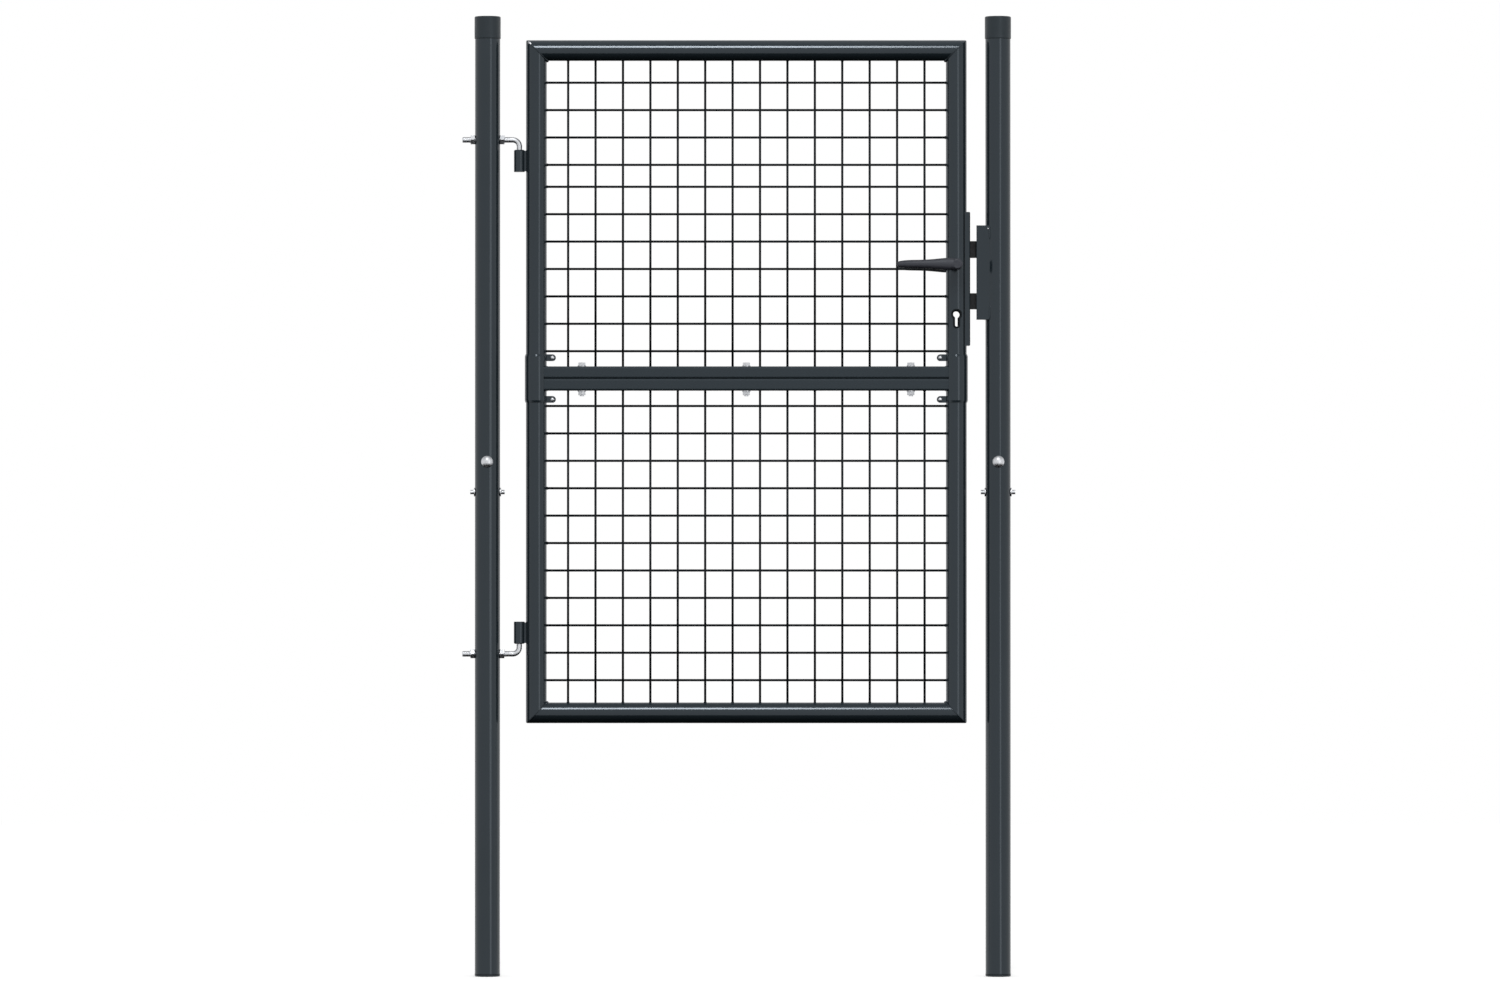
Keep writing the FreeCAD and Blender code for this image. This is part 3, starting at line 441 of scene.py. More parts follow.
FINISHES = {
    "coated_steel": finish_from(
        "coated_steel", coat_skin, {**TUBE_COAT, "Gloss low": 0.11, "Gloss high": 0.15},
        microns=2, metallic=0.0, specular=0.46, tint=ANTHRACITE_TINT),
    "coated_mesh": finish_from(
        "coated_mesh", coat_skin, {**WIRE_COAT, "Gloss low": 0.3, "Gloss high": 0.4},
        microns=4, metallic=0.0, specular=0.1, tint=ANTHRACITE_TINT),
}
matt_coat = finish_from(
    "coated_steel_matt", coat_skin, {**TUBE_COAT, "Gloss low": 0.54, "Gloss high": 0.62},
    microns=4, metallic=0.0, specular=0.46, tint=ANTHRACITE_TINT)
print("coats", list(FINISHES), "and a matt one")

# %% Mix the metals
FINISHES["zinc"] = finish_from(
    "zinc", plated_clouds,
    {"Colour": (0.64, 0.65, 0.67, 1), "Cloud colour": (0.5, 0.52, 0.55, 1),
     "Cloud scale": 220.0, "Gloss low": 0.28, "Gloss high": 0.44},
    microns=10, metallic=1.0, specular=0.5)
FINISHES["lock_steel"] = finish_from(
    "lock_steel", plated_clouds,
    {"Colour": (0.017, 0.0175, 0.019, 1), "Cloud colour": (0.008, 0.0082, 0.009, 1),
     "Cloud scale": 180.0, "Gloss low": 0.3, "Gloss high": 0.46},
    microns=10, metallic=0.35, specular=0.22)
print("metals", list(FINISHES)[-2:])

# %% Mix the plastics
LEVER_TINT = (0.9, 0.94, 1.0, 1)
FINISHES["cap_plastic"] = finish_from(
    "cap_plastic", moulded_grain,
    {"Colour": (0.0165, 0.0235, 0.0275, 1), "Worn colour": (0.0215, 0.028, 0.0325, 1),
     "Grain scale": 1100.0, "Gloss low": 0.34, "Gloss high": 0.46},
    microns=10, metallic=0.0, specular=0.4, tint=ANTHRACITE_TINT)
FINISHES["lever_plastic"] = finish_from(
    "lever_plastic", moulded_grain,
    {"Colour": (0.026, 0.028, 0.038, 1), "Worn colour": (0.038, 0.04, 0.05, 1),
     "Grain scale": 800.0, "Gloss low": 0.4, "Gloss high": 0.54},
    microns=40, metallic=0.0, specular=0.5, tint=LEVER_TINT)
print("plastics", list(FINISHES)[-2:])

# %% Give every node its finish
MATT_NODES = ("upper_mid_rail", "lower_mid_rail")

for part in frame["record"]["subparts"]:
    finish = matt_coat if part["node"] in MATT_NODES else FINISHES[part["material_slot"]]
    data = nodes[part["node"]].data
    data.materials.clear()
    data.materials.append(finish)
print(len(FINISHES), "finishes on", len(nodes), "nodes")

# %% [markdown]
# ## The welded wire mesh
#
# The panel is cut from rolled mesh: upright wires in front, level wires behind, pressed and
# welded into each other at every crossing, so a small nugget squeezes out there. Each wire end
# is tacked to the frame with a drop of weld. Everything repeats, so a Geometry Nodes tree
# makes it: two lines of points carry the wires, a grid of points carries the nuggets, and a
# seeded random value gives each one its own turn and size.

# %% Helpers for Geometry Nodes
COUNT, MATERIAL, GEOMETRY = "NodeSocketInt", "NodeSocketMaterial", "NodeSocketGeometry"


def new_geometry_group(name, inputs):
    """A Geometry Nodes group with a geometry in and out and named inputs."""
    return new_group(name, [("Geometry", GEOMETRY, None)] + inputs, [("Geometry", GEOMETRY)],
                     "GeometryNodeTree")


def vector(tree, x=0.0, y=0.0, z=0.0):
    """Three numbers or output sockets as one vector."""
    return add(tree, "ShaderNodeCombineXYZ", X=x, Y=y, Z=z).outputs[0]


def end_tree(tree, outside, geometry, material):
    """Turn all copies into one mesh with a material and send it out."""
    solid = add(tree, "GeometryNodeRealizeInstances", Geometry=geometry)
    finished = add(tree, "GeometryNodeSetMaterial", Geometry=solid.outputs[0], Material=material)
    put(tree, outside, "Geometry", finished.outputs[0])
    print("tree", tree.name, len(tree.nodes), "nodes")


# %% Helpers for finished pieces
def plain_mesh(name, group, values, start=None):
    """Run a Geometry Nodes group on a mesh and keep the result as a plain mesh object."""
    source_name = name + "_source"
    source = bpy.data.objects.new(source_name, start or bpy.data.meshes.new(source_name))
    scene.collection.objects.link(source)
    modifier = source.modifiers.new("shape", "NODES")
    modifier.node_group = group
    for item in group.interface.items_tree:
        if item.item_type == "SOCKET" and item.in_out == "INPUT" and item.name in values:
            modifier[item.identifier] = values[item.name]
    bpy.context.view_layer.update()
    evaluated = source.evaluated_get(bpy.context.evaluated_depsgraph_get())
    data = bpy.data.meshes.new_from_object(evaluated)
    data.name = name
    bpy.data.objects.remove(source)
    made = bpy.data.objects.new(name, data)
    scene.collection.objects.link(made)
    print(name, len(data.polygons), "faces")
    return made


def settle(piece, body, replaced=()):
    """Hide the nodes that a finished piece replaces and hang the piece on the body it rides on.
    """
    if replaced:
        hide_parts(*replaced)
    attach(piece, body)


# %% Tree for the wire panel
wire_panel, inside, outside = new_geometry_group("wire_panel", [
    ("Wire radius", NUMBER, 0.002),
    ("Wire offset", NUMBER, 0.0018),
    ("Uprights", COUNT, 14),
    ("First upright", NUMBER, 0.147),
    ("Pitch", NUMBER, 0.05),
    ("Rows", COUNT, 11),
    ("First row", NUMBER, 1.1395),
    ("Row step", NUMBER, 0.05),
    ("Rows before short step", COUNT, 7),
    ("Short by", NUMBER, 0.01),
    ("Low end", NUMBER, 1.11),
    ("High end", NUMBER, 1.67),
    ("Left end", NUMBER, 0.107),
    ("Right end", NUMBER, 0.837),
    ("Nugget radius", NUMBER, 0.0034),
    ("Tack radius", NUMBER, 0.0036),
    ("Seed", COUNT, 3),
    ("Material", MATERIAL, None),
])
value = inside.outputs


def moved(points, x=0.0, y=0.0, z=0.0):
    """The same points, each set off by numbers or output sockets."""
    return add(wire_panel, "GeometryNodeSetPosition", Geometry=points,
               Offset=vector(wire_panel, x, y, z)).outputs[0]


upright_line = add(wire_panel, "GeometryNodeMeshLine", Count=value["Uprights"],
                   Start_Location=vector(wire_panel, value["First upright"]),
                   Offset=vector(wire_panel, value["Pitch"]))
row_line = add(wire_panel, "GeometryNodeMeshLine", Count=value["Rows"],
               Start_Location=vector(wire_panel, z=value["First row"]),
               Offset=vector(wire_panel, z=value["Row step"]))
row_number = wire_panel.nodes.new("GeometryNodeInputIndex").outputs[0]
last_even_row = calculate(wire_panel, "SUBTRACT", value["Rows before short step"], 0.5)
after_short = calculate(wire_panel, "GREATER_THAN", row_number, last_even_row)
shorter = calculate(wire_panel, "MULTIPLY", value["Short by"], -1.0)
drop = calculate(wire_panel, "MULTIPLY", after_short, shorter)
upright_points = upright_line.outputs[0]
row_points = moved(row_line.outputs[0], z=drop)

# %% Wires on the lines of points
WIRE_SIDES = 14


def wire_between(low_end, high_end, level):
    """One round wire from a low to a high coordinate, along X if it is level, else along Z."""
    length = calculate(wire_panel, "SUBTRACT", high_end, low_end)
    both_ends = calculate(wire_panel, "ADD", low_end, high_end)
    middle = calculate(wire_panel, "MULTIPLY", both_ends, 0.5)
    rod = add(wire_panel, "GeometryNodeMeshCylinder", Vertices=WIRE_SIDES,
              Radius=value["Wire radius"], Depth=length)
    shift = vector(wire_panel, x=middle) if level else vector(wire_panel, z=middle)
    placed = add(wire_panel, "GeometryNodeTransform", Geometry=rod.outputs[0], Translation=shift)
    if level:
        put(wire_panel, placed, "Rotation", (0, math.pi / 2, 0))
    return add(wire_panel, "GeometryNodeSetShadeSmooth", Geometry=placed.outputs[0]).outputs[0]


def copies(points, shape, **sockets):
    """A copy of a shape on every point."""
    return add(wire_panel, "GeometryNodeInstanceOnPoints", Points=points, Instance=shape,
               **sockets).outputs[0]


in_front = calculate(wire_panel, "MULTIPLY", value["Wire offset"], -1.0)
uprights = copies(moved(upright_points, y=in_front),
                  wire_between(value["Low end"], value["High end"], level=False))
levels = copies(moved(row_points, y=value["Wire offset"]),
                wire_between(value["Left end"], value["Right end"], level=True))

# %% Nuggets at the crossings and tacks at the wire ends
DROP_SUBDIVISIONS = 2
DROP_SIZES = (0.8, 1.15)
MOST_TURN = (0.3, 3.1, 0.3)
NUGGET_SHAPE = (1.0, 0.62, 1.0)
TACK_SHAPE = (1.0, 1.0, 1.0)


def drops(points, radius, shape, seed_shift):
    """Small drops of weld on points, each with its own turn and size."""
    seed = calculate(wire_panel, "ADD", value["Seed"], seed_shift)
    size = add(wire_panel, "FunctionNodeRandomValue", Seed=seed)
    put(wire_panel, size, 2, DROP_SIZES[0])
    put(wire_panel, size, 3, DROP_SIZES[1])
    turn = wire_panel.nodes.new("FunctionNodeRandomValue")
    turn.data_type = "FLOAT_VECTOR"
    put(wire_panel, turn, 1, MOST_TURN)
    put(wire_panel, turn, "Seed", seed)
    ball = add(wire_panel, "GeometryNodeMeshIcoSphere", Radius=radius,
               Subdivisions=DROP_SUBDIVISIONS)
    smooth = add(wire_panel, "GeometryNodeSetShadeSmooth", Geometry=ball.outputs[0])
    shaped = add(wire_panel, "GeometryNodeTransform", Geometry=smooth.outputs[0], Scale=shape)
    return copies(points, shaped.outputs[0], Scale=size.outputs[1], Rotation=turn.outputs[0])


crossings = add(wire_panel, "GeometryNodeRealizeInstances",
                Geometry=copies(row_points, upright_points)).outputs[0]
nuggets = drops(crossings, value["Nugget radius"], NUGGET_SHAPE, seed_shift=0)

wire_ends = wire_panel.nodes.new("GeometryNodeJoinGeometry")
for end in (moved(upright_points, y=in_front, z=value["Low end"]),
            moved(upright_points, y=in_front, z=value["High end"]),
            moved(row_points, x=value["Left end"], y=value["Wire offset"]),
            moved(row_points, x=value["Right end"], y=value["Wire offset"])):
    put(wire_panel, wire_ends, 0, end)
tacks = drops(wire_ends.outputs[0], value["Tack radius"], TACK_SHAPE, seed_shift=1)

whole_panel = wire_panel.nodes.new("GeometryNodeJoinGeometry")
for piece in (uprights, levels, nuggets, tacks):
    put(wire_panel, whole_panel, 0, piece)
end_tree(wire_panel, outside, whole_panel.outputs[0], value["Material"])

# %% [markdown]
# The two halves use the same tree. The wires are 4 mm thick and a little more with their
# coat. Their pitch is 50 mm, and in the upper half one step is 10 mm shorter, as in the
# picture. The rows are counted from the middle rails outwards.

# %% Count the wires
PITCH = 50.0 * MM
SHORT_BY = 10.0 * MM
FIRST_ROW = 28.0 * MM
LEAST_EDGE = 20.0 * MM
ROUNDING = 1e-6


def wires_on(length):
    """How many wires fit on a length at the full pitch."""
    return int(length / PITCH + ROUNDING) + 1


INNER_TOP, INNER_BOTTOM = LEAF_TOP - 2 * TUBE_R, LEAF_BOTTOM + 2 * TUBE_R
uprights_count = wires_on(LEAF_RIGHT - LEAF_LEFT - 4 * TUBE_R - 2 * LEAST_EDGE)
first_upright = (LEAF_LEFT + LEAF_RIGHT) / 2 - PITCH * (uprights_count - 1) / 2
upper_rows = wires_on(INNER_TOP - RAIL_HIGH - FIRST_ROW - LEAST_EDGE + SHORT_BY)
lower_rows = wires_on(RAIL_LOW - INNER_BOTTOM - FIRST_ROW - LEAST_EDGE)
print(uprights_count, "uprights,", upper_rows, "and", lower_rows, "level wires")

# %% Make the two panels
WIRE_R = 2.15 * MM
WIRE_OFFSET = 1.8 * MM
ROWS_BEFORE_SHORT = 7
SINK_IN_FRAME = 0.6 * MM
NUGGET_R = 2.9 * MM
TACK_R = 2.7 * MM

shared_values = {
    "Wire radius": WIRE_R,
    "Wire offset": WIRE_OFFSET,
    "Uprights": uprights_count,
    "First upright": first_upright,
    "Pitch": PITCH,
    "Left end": LEFT_STILE_X + TUBE_R - SINK_IN_FRAME,
    "Right end": RIGHT_STILE_X - TUBE_R + SINK_IN_FRAME,
    "Nugget radius": NUGGET_R,
    "Tack radius": TACK_R,
    "Material": FINISHES["coated_mesh"],
}
upper_values = {
    "Rows": upper_rows, "First row": RAIL_HIGH + FIRST_ROW, "Row step": PITCH,
    "Rows before short step": ROWS_BEFORE_SHORT, "Short by": SHORT_BY,
    "Low end": RAIL_HIGH - SINK_IN_FRAME, "High end": INNER_TOP + SINK_IN_FRAME, "Seed": 3}
lower_values = {
    "Rows": lower_rows, "First row": RAIL_LOW - FIRST_ROW, "Row step": -PITCH,
    "Rows before short step": lower_rows + 1, "Short by": 0.0,
    "Low end": INNER_BOTTOM - SINK_IN_FRAME, "High end": RAIL_LOW + SINK_IN_FRAME, "Seed": 5}
for half, own_values in (("upper", upper_values), ("lower", lower_values)):
    panel = plain_mesh(half + "_wires", wire_panel, {**shared_values, **own_values})
    settle(panel, "leaf", [half + "_mesh"])

# %% [markdown]
# ## Weld beads
#
# The frame is welded, and a weld shows as a narrow ripple of metal under the coat: across the
# faces of the mitred corners, thicker in their inner angles, along the webs of the hinge
# barrels, at the ends of the middle rails, and in short runs at the keeper and the lock box.
# Each run is a path of points on the line where two pieces meet. One Geometry Nodes tree
# sweeps a round along every path, with ripples, tapered ends and a little wobble from a noise.

# %% Tree for a weld bead
weld_bead, inside, outside = new_geometry_group("weld_bead", [
    ("Bead radius", NUMBER, 0.0012),
    ("Ripple length", NUMBER, 0.0016),
    ("Ripple depth", NUMBER, 0.16),
    ("Wobble", NUMBER, 0.0002),
    ("Steps per ripple", NUMBER, 3.0),
    ("Material", MATERIAL, None),
])
value = inside.outputs

chain = add(weld_bead, "GeometryNodeMeshToCurve", Mesh=value["Geometry"])
step_length = calculate(weld_bead, "DIVIDE", value["Ripple length"], value["Steps per ripple"])
path = weld_bead.nodes.new("GeometryNodeResampleCurve")
path.mode = "LENGTH"
put(weld_bead, path, "Curve", chain.outputs[0])
put(weld_bead, path, "Length", step_length)

# %% Thickness along the bead
TIP_RADII = 2.0
TIP_THICKNESS = 0.2

along = weld_bead.nodes.new("GeometryNodeSplineParameter").outputs["Length"]
whole = weld_bead.nodes.new("GeometryNodeSplineLength").outputs["Length"]
to_go = calculate(weld_bead, "SUBTRACT", whole, along)
from_tip = calculate(weld_bead, "MINIMUM", along, to_go)
tip_length = calculate(weld_bead, "MULTIPLY", value["Bead radius"], TIP_RADII)
rise = calculate(weld_bead, "MINIMUM", calculate(weld_bead, "DIVIDE", from_tip, tip_length), 1.0)
rounded = calculate(weld_bead, "POWER", rise, 0.5)
above_tip = calculate(weld_bead, "MULTIPLY", rounded, 1 - TIP_THICKNESS)
taper = calculate(weld_bead, "ADD", above_tip, TIP_THICKNESS)
ripples = calculate(weld_bead, "DIVIDE", along, value["Ripple length"])
phase = calculate(weld_bead, "MULTIPLY", ripples, math.pi)
ripple = calculate(weld_bead, "ABSOLUTE", calculate(weld_bead, "SINE", phase))
notch = calculate(weld_bead, "MULTIPLY", ripple, value["Ripple depth"])
swell = calculate(weld_bead, "SUBTRACT", 1.0, notch)
shape = calculate(weld_bead, "MULTIPLY", taper, swell)
thickness = calculate(weld_bead, "MULTIPLY", value["Bead radius"], shape)

# %% Sweep and wobble of the bead
BEAD_SIDES = 8
WOBBLE_SCALE = 260.0

section = add(weld_bead, "GeometryNodeCurvePrimitiveCircle", Resolution=BEAD_SIDES, Radius=1.0)
swept = add(weld_bead, "GeometryNodeCurveToMesh", Curve=path.outputs[0],
            Profile_Curve=section.outputs[0], Scale=thickness, Fill_Caps=True)
uneven = add(weld_bead, "ShaderNodeTexNoise", Scale=WOBBLE_SCALE)
centred = weld_bead.nodes.new("ShaderNodeVectorMath")
centred.operation = "SUBTRACT"
put(weld_bead, centred, 0, uneven.outputs["Color"])
put(weld_bead, centred, 1, (0.5, 0.5, 0.5))
scaled = weld_bead.nodes.new("ShaderNodeVectorMath")
scaled.operation = "SCALE"
put(weld_bead, scaled, 0, centred.outputs[0])
put(weld_bead, scaled, "Scale", calculate(weld_bead, "MULTIPLY", value["Wobble"], 2.0))
wobbly = add(weld_bead, "GeometryNodeSetPosition", Geometry=swept.outputs[0],
             Offset=scaled.outputs[0])
smooth = add(weld_bead, "GeometryNodeSetShadeSmooth", Geometry=wobbly.outputs[0])
end_tree(weld_bead, outside, smooth.outputs[0], value["Material"])


# %% Helpers for weld paths
def paths_mesh(name, paths):
    """A mesh of edges only: one chain of points for each path."""
    points, edges = [], []
    for path in paths:
        start = len(points)
        points += path
        edges += [(start + i, start + i + 1) for i in range(len(path) - 1)]
    data = bpy.data.meshes.new(name)
    data.from_pydata(points, edges, [])
    return data


def beads(name, paths, body, slot="coated_steel", **sockets):
    """Sweep one bead along each path, as one piece that rides on a body."""
    values = {socket.replace("_", " "): number for socket, number in sockets.items()}
    values["Material"] = FINISHES[slot]
    settle(plain_mesh(name, weld_bead, values, paths_mesh(name + "_paths", paths)), body)


def upright_run(x, y, z0, z1):
    """A straight upright path."""
    return [(x, y, z0), (x, y, z1)]


def mitre_path(corner, first, last, steps=24):
    """The line where a rail and a stile meet, between two angles round the tube.

    At 90 degrees the point is the outer corner, at 0 the front face, at -90 the inner corner.
    """
    stile_x, rail_z, out_x, out_z = corner
    path = []
    for i in range(steps + 1):
        angle = math.radians(first + (last - first) * i / steps)
        away = TUBE_R * math.sin(angle)
        path.append((stile_x + out_x * away, -TUBE_R * math.cos(angle), rail_z + out_z * away))
    return path


# %% Paths at the mitred corners
OUTER_STOP, INNER_STOP = 48, -75
ANGLE_START = -52

TOP_RAIL_Z = LEAF_TOP - TUBE_R
BOTTOM_RAIL_Z = LEAF_BOTTOM + TUBE_R
CORNERS = [(LEFT_STILE_X, TOP_RAIL_Z, -1, 1), (RIGHT_STILE_X, TOP_RAIL_Z, 1, 1),
           (LEFT_STILE_X, BOTTOM_RAIL_Z, -1, -1), (RIGHT_STILE_X, BOTTOM_RAIL_Z, 1, -1)]
face_beads, angle_beads = [], []
for corner in CORNERS:
    face_beads.append(mitre_path(corner, OUTER_STOP, INNER_STOP))
    face_beads.append(mitre_path(corner, 180 - OUTER_STOP, 180 - INNER_STOP))
    angle_beads.append(mitre_path(corner, ANGLE_START, -180 - ANGLE_START))
print(len(face_beads), "fine and", len(angle_beads), "thick beads at the corners")

# %% Paths at the hinge webs and the middle rails
WEB_HALF = 4.0 * MM
BARREL_MARGIN = 3.0 * MM
web_x = LEFT_STILE_X - math.sqrt(TUBE_R ** 2 - WEB_HALF ** 2)
for barrel in ("upper_hinge_barrel", "lower_hinge_barrel"):
    for side in (-1, 1):
        face_beads.append(upright_run(web_x, side * WEB_HALF, low(barrel).z + BARREL_MARGIN,
                                      high(barrel).z - BARREL_MARGIN))

RAIL_BEAD_INSET = 2.5 * MM
RAIL_BEAD_STEPS = 12
run_half = (high("upper_mid_rail").y - low("upper_mid_rail").y) / 2 - RAIL_BEAD_INSET
depths = [run_half * (2 * i / RAIL_BEAD_STEPS - 1) for i in range(RAIL_BEAD_STEPS + 1)]
for z in (RAIL_HIGH, RAIL_LOW):
    for stile_x, inward in ((LEFT_STILE_X, 1), (RIGHT_STILE_X, -1)):
        face_beads.append([(stile_x + inward * math.sqrt(TUBE_R ** 2 - y ** 2), y, z)
                           for y in depths])
print(len(face_beads), "fine beads so far")

# %% Paths at the lock box and the keeper
BOX_RUN = 26.0 * MM
BOX_INSET = 2.0 * MM
box_half = high("lock_box").y
box_x = RIGHT_STILE_X + math.sqrt(TUBE_R ** 2 - box_half ** 2)
first_start = low("lock_box").z + BOX_INSET
last_start = high("lock_box").z - BOX_INSET - BOX_RUN
for share in (0.0, 0.5, 1.0):
    start = first_start + share * (last_start - first_start)
    face_beads.append(upright_run(box_x, box_half, start, start + BOX_RUN))

KEEPER_RUN = 24.0 * MM
KEEPER_INSET = 1.0 * MM
keeper_low, keeper_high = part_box("keeper")
keeper_beads = []
for y in (keeper_low.y, keeper_high.y):
    x = LOCK_POST_X - math.sqrt(POST_R ** 2 - y ** 2)
    for start in (keeper_low.z + KEEPER_INSET, keeper_high.z - KEEPER_INSET - KEEPER_RUN):
        keeper_beads.append(upright_run(x, y, start, start + KEEPER_RUN))
print(len(face_beads), "fine beads on the leaf,", len(keeper_beads), "at the keeper")

# %% Sweep the beads
beads("fine_welds", face_beads, "leaf", Bead_radius=1.1 * MM)
beads("corner_welds", angle_beads, "leaf", Bead_radius=2.6 * MM)
beads("keeper_welds", keeper_beads, "posts", Bead_radius=1.7 * MM)

# %% [markdown]
# Two very short beads with the zinc finish add bright dots. The one at the outer corner over the
# hinges is a painted glint that stands in for a highlight; the other is a bright dot at the top
# of the keeper.

# %% A painted glint at the corner and a bright dot at the keeper
SPOT_R = 2.3 * MM
SPOT_LENGTH = 4.0 * MM
SPOT_DROP = 1.8 * SPOT_R
SPOT_FROM, SPOT_TO = 55, 31
KEEPER_SPOT_INSET = 3.0 * MM

# Painted glint: a short zinc bead at the outer corner stands in for a highlight there.
corner_painted_glint = mitre_path(CORNERS[0], SPOT_FROM, SPOT_TO, steps=4)
spot_top = keeper_high.z - SPOT_DROP
keeper_spot = upright_run(keeper_high.x - KEEPER_SPOT_INSET, keeper_low.y,
                          spot_top - SPOT_LENGTH, spot_top)
for name, spot, body in (("corner_painted_glint", corner_painted_glint, "leaf"),
                         ("keeper_spot", keeper_spot, "posts")):
    beads(name, [spot], body, slot="zinc", Bead_radius=SPOT_R, Ripple_depth=0.0)

# %% [markdown]
# ## Painted shade at the keyhole and the joints
#
# A dark line of painted shade surrounds the keyhole, follows the joint of the lock box and lies
# under each cap and at each foot: thin beads in the dark wire coat stand in for the shade in
# the hole's edge and in the narrow joints. At the keyhole the line follows the hole's edge on
# the round tube, in front and at the back. All are paths again, so the tree for the beads
# sweeps them without ripples or wobble. A closed path runs on a little past its start, so that
# its tapered ends lie inside each other.

# %% Outline of the keyhole
ROUND_R = 8.1 * MM
SLOT_R = 4.6 * MM
SLOT_END = 19.5 * MM
OVERLAP = 30
mounts = {mount["name"]: mount["pos_m"] for mount in frame["record"]["mounts"]}
keyhole_x, _, keyhole_z = mounts["cylinder_hole"]


def arc(centre_z, radius, first, last, steps):
    """Points of an arc in the plane of the gate, as offsets from the middle of the round."""
    angles = [math.radians(first + (last - first) * i / steps) for i in range(steps + 1)]
    return [(radius * math.cos(angle), centre_z + radius * math.sin(angle)) for angle in angles]


meet = math.degrees(math.acos(SLOT_R / ROUND_R))
outline = arc(-SLOT_END, SLOT_R, -90, 0, steps=6)
outline += arc(0, ROUND_R, -meet, 180 + meet, steps=30)
outline += arc(-SLOT_END, SLOT_R, 180, 270 + OVERLAP, steps=8)
# Painted shade: a dark bead lines the keyhole's edge, in front and at the back.
keyhole_painted_shade = [[(keyhole_x + u, side * math.sqrt(TUBE_R ** 2 - u ** 2), keyhole_z + v)
                 for u, v in outline] for side in (-1, 1)]
print("keyhole rim", len(outline), "points")

# %% Painted shade lines at the lock box, the caps and the feet
RING_R = 0.8 * MM
# Painted shade: dark beads along the joint between the lock box and the stile.
box_painted_shade = [upright_run(box_x, side * box_half, low("lock_box").z, high("lock_box").z)
              for side in (-1, 1)]


def ring(x, z, radius, steps=48, overlap=2):
    """A level circle round a post that runs on a little past its start."""
    angles = [2 * math.pi * i / steps for i in range(steps + overlap + 1)]
    return [(x + radius * math.cos(angle), radius * math.sin(angle), z) for angle in angles]


# Painted shade: dark rings under each cap and at each foot.
post_painted_shade = []
for post_x, post in ((0.0, "hinge_post"), (LOCK_POST_X, "lock_post")):
    post_painted_shade.append(ring(post_x, low(post + "_cap").z, POST_R))
    post_painted_shade.append(ring(post_x, low(post).z, POST_R - RING_R / 2))
print(len(post_painted_shade), "rings on the posts")

# %% Sweep the painted shade lines
# The dark wire coat on these beads is painted shade.
for name, paths, body, radius in (("keyhole_painted_shade", keyhole_painted_shade, "leaf", 1.9 * MM),
                                  ("box_painted_shade", box_painted_shade, "leaf", 1.9 * MM),
                                  ("post_painted_shade", post_painted_shade, "posts", RING_R)):
    beads(name, paths, body, slot="coated_mesh", Bead_radius=radius, Ripple_depth=0.0,
          Wobble=0.0)

# %% [markdown]
# ## Threads on the rods and bolts
#
# The ends of the hinge rods and bolts carry a thread, of which only a smooth rod is in the
# solids. A thread is a ridge that follows a spiral, so a tree sweeps a small pointed section
# along a spiral and sets it down at each place, turned along the rod's axis. The axis of each
# place is kept as an attribute on the source's points.

# %% Tree for a thread
screw_thread, inside, outside = new_geometry_group("screw_thread", [
    ("Rod radius", NUMBER, 0.005),
    ("Pitch", NUMBER, 0.0015),
    ("Length", NUMBER, 0.014),
    ("Ridge", NUMBER, 0.0004),
    ("Material", MATERIAL, None),
])
STEPS_PER_TURN = 20
RIDGE_SIDES = 4
value = inside.outputs

spiral = add(screw_thread, "GeometryNodeCurveSpiral", Resolution=STEPS_PER_TURN,
             Rotations=calculate(screw_thread, "DIVIDE", value["Length"], value["Pitch"]),
             Start_Radius=value["Rod radius"], End_Radius=value["Rod radius"],
             Height=value["Length"])
section = add(screw_thread, "GeometryNodeCurvePrimitiveCircle", Resolution=RIDGE_SIDES,
              Radius=value["Ridge"])
ridge = add(screw_thread, "GeometryNodeCurveToMesh", Curve=spiral.outputs[0],
            Profile_Curve=section.outputs[0], Scale=1.0, Fill_Caps=True)
axis = add(screw_thread, "GeometryNodeInputNamedAttribute", Name="axis")
axis.data_type = "FLOAT_VECTOR"
turned = screw_thread.nodes.new("FunctionNodeAlignRotationToVector")
turned.axis = "Z"
put(screw_thread, turned, "Vector", axis.outputs[0])
placed = add(screw_thread, "GeometryNodeInstanceOnPoints", Points=value["Geometry"],
             Instance=ridge.outputs[0], Rotation=turned.outputs[0])
end_tree(screw_thread, outside, placed.outputs[0], value["Material"])


# %% Places of the threads
def axis_points(name, places):
    """A mesh of loose points that carry the direction of their rod."""
    data = bpy.data.meshes.new(name)
    data.from_pydata([start for start, along in places], [], [])
    axes = data.attributes.new("axis", "FLOAT_VECTOR", "POINT")
    for item, (start, along) in zip(axes.data, places):
        item.vector = along
    return data


PIN_R = 5.0 * MM
PIN_NUT = 8.0 * MM
PIN_END = 1.0 * MM
pin_heights = (high("upper_hinge_pin").z - PIN_R, low("lower_hinge_pin").z + PIN_R)
tail_x = low("upper_hinge_pin").x
tail_length = -POST_R - PIN_NUT - tail_x - PIN_END
pin_tails = [((tail_x + PIN_END, 0, z), (1, 0, 0)) for z in pin_heights]
pin_inner = [((POST_R + PIN_NUT - PIN_END / 2, 0, z), (1, 0, 0)) for z in pin_heights]

WASHER = 1.6 * MM
WASHER_R = 8.0 * MM
side_bolt_z = low("hinge_post_bolts").z + WASHER_R
side_tail = -POST_R - WASHER - low("hinge_post_bolts").x
side_ends = [((post_x + side * (POST_R + WASHER), 0, side_bolt_z), (side, 0, 0))
             for post_x in (0.0, LOCK_POST_X) for side in (-1, 1)]
print("threads", round(tail_length / MM, 1), "mm on the rods,",
      round(side_tail / MM, 1), "mm on the side bolts")

# %% Wind the threads
PIN_PITCH = 1.5 * MM
INNER_THREAD = 10.0 * MM
BOLT_R = 4.0 * MM
BOLT_PITCH = 1.25 * MM
BOLT_END = 0.6 * MM
THREAD_SINK = 0.1 * MM
RIDGE_SHARE = 0.32
zinc = FINISHES["zinc"]

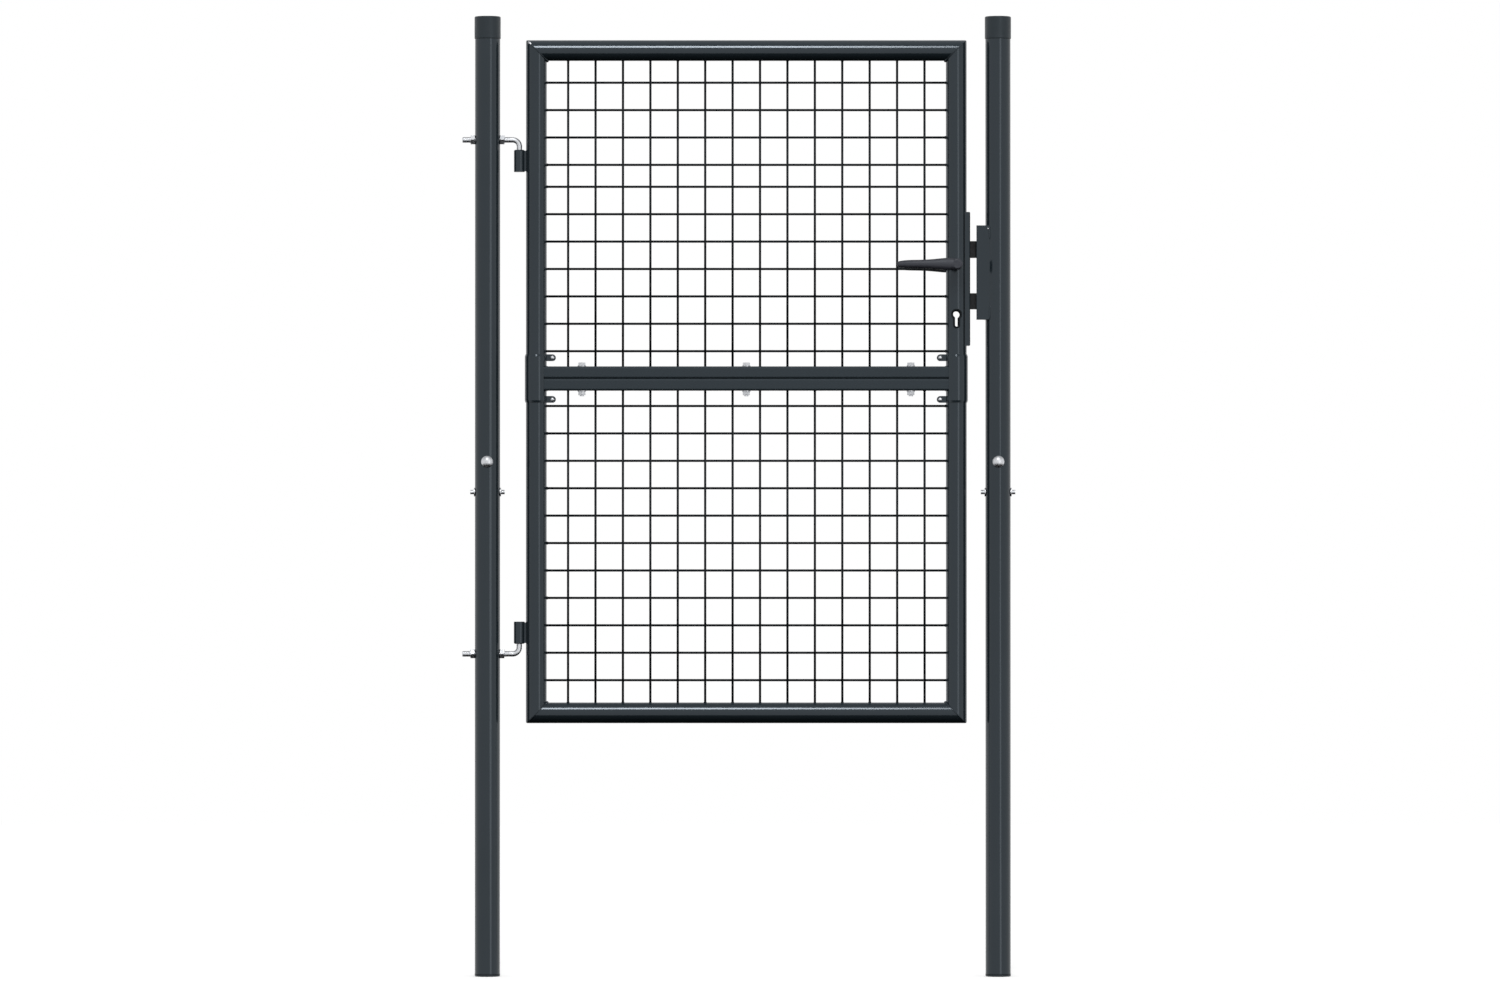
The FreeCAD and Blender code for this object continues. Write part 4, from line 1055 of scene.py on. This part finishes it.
for name, radius, pitch, length, places in (
        ("rod_tail_threads", PIN_R, PIN_PITCH, tail_length, pin_tails),
        ("rod_inner_threads", PIN_R, PIN_PITCH, INNER_THREAD, pin_inner),
        ("side_bolt_threads", BOLT_R, BOLT_PITCH, side_tail - BOLT_END, side_ends)):
    values = {"Rod radius": radius - THREAD_SINK, "Pitch": pitch, "Length": length,
              "Ridge": RIDGE_SHARE * pitch, "Material": zinc}
    settle(plain_mesh(name, screw_thread, values, axis_points(name, places)), "posts")

# %% [markdown]
# ## Screws in the faceplate
#
# The lock is held in its box by two countersunk screws in the faceplate. Each head is a flat
# disc with a cross recess. A filled 2-D curve makes that best: a circle with a cross inside it
# is a disc with a cross hole, its extrusion gives the depth and its bevel the soft rim. A
# small disc below closes the recess.

# %% Outline of a cross-slot head
HEAD_R = 3.6 * MM
HEAD_SIDES = 36
HEAD_BEVEL = 0.12 * MM
SLOT_REACH = 2.1 * MM
SLOT_HALF = 0.5 * MM
SLOT_DEPTH = 0.5 * MM


def outline_spline(curve, points):
    """Add a closed outline to a flat curve."""
    spline = curve.splines.new("POLY")
    spline.points.add(len(points) - 1)
    for target, (u, v) in zip(spline.points, points):
        target.co = (u, v, 0, 1)
    spline.use_cyclic_u = True


def cross_outline(reach, half):
    """The twelve corners of a cross with four like arms."""
    quarter = [(half, half), (reach, half), (reach, -half)]
    points = []
    for turn in range(4):
        c, s = round(math.cos(-turn * math.pi / 2)), round(math.sin(-turn * math.pi / 2))
        points += [(u * c - v * s, u * s + v * c) for u, v in quarter]
    return points


def head_disc(name):
    """A disc with a cross hole, as a mesh round the origin."""
    curve = bpy.data.curves.new(name, "CURVE")
    curve.dimensions = "2D"
    curve.fill_mode = "BOTH"
    curve.extrude = SLOT_DEPTH / 2
    curve.bevel_depth = HEAD_BEVEL
    curve.bevel_resolution = 2
    angles = [2 * math.pi * i / HEAD_SIDES for i in range(HEAD_SIDES)]
    outline_spline(curve, [(HEAD_R * math.cos(a), HEAD_R * math.sin(a)) for a in angles])
    outline_spline(curve, cross_outline(SLOT_REACH, SLOT_HALF))
    holder = bpy.data.objects.new(name + "_outline", curve)
    scene.collection.objects.link(holder)
    bpy.context.view_layer.update()
    depsgraph = bpy.context.evaluated_depsgraph_get()
    disc = bpy.data.meshes.new_from_object(holder.evaluated_get(depsgraph))
    bpy.data.objects.remove(holder)
    return disc


# %% Make the two screws
HEAD_TURN = 0.4
RECESS_FLOOR_R = 1.1 * SLOT_REACH
RECESS_FLOOR_SIDES = 24
HEAD_PROUD = 0.25 * MM
SCREW_INSET = 9.0 * MM


def screw_heads(name, places):
    """Cross-slot heads that face +X at the given places, as one mesh."""
    disc = head_disc(name)
    floor_below = Matrix.Translation((0, 0, -SLOT_DEPTH / 2))
    body = bmesh.new()
    for place in places:
        turn = (Matrix.Translation(place) @ Matrix.Rotation(math.pi / 2, 4, "Y")
                @ Matrix.Rotation(HEAD_TURN, 4, "Z"))
        one = bmesh.new()
        one.from_mesh(disc)
        bmesh.ops.transform(one, matrix=turn, verts=one.verts)
        bmesh.ops.create_circle(one, cap_ends=True, segments=RECESS_FLOOR_SIDES,
                                radius=RECESS_FLOOR_R, matrix=turn @ floor_below)
        head = bpy.data.meshes.new("head")
        one.to_mesh(head)
        one.free()
        body.from_mesh(head)
    bmesh.ops.remove_doubles(body, verts=body.verts, dist=ROUNDING)
    data = bpy.data.meshes.new(name)
    body.to_mesh(data)
    body.free()
    data.materials.append(zinc)
    made = bpy.data.objects.new(name, data)
    scene.collection.objects.link(made)
    print(name, len(data.polygons), "faces")
    return made


face_x = high("faceplate").x + HEAD_PROUD - SLOT_DEPTH / 2
heights = (low("faceplate").z + SCREW_INSET, high("faceplate").z - SCREW_INSET)
settle(screw_heads("faceplate_screws", [Vector((face_x, 0, z)) for z in heights]), "leaf")
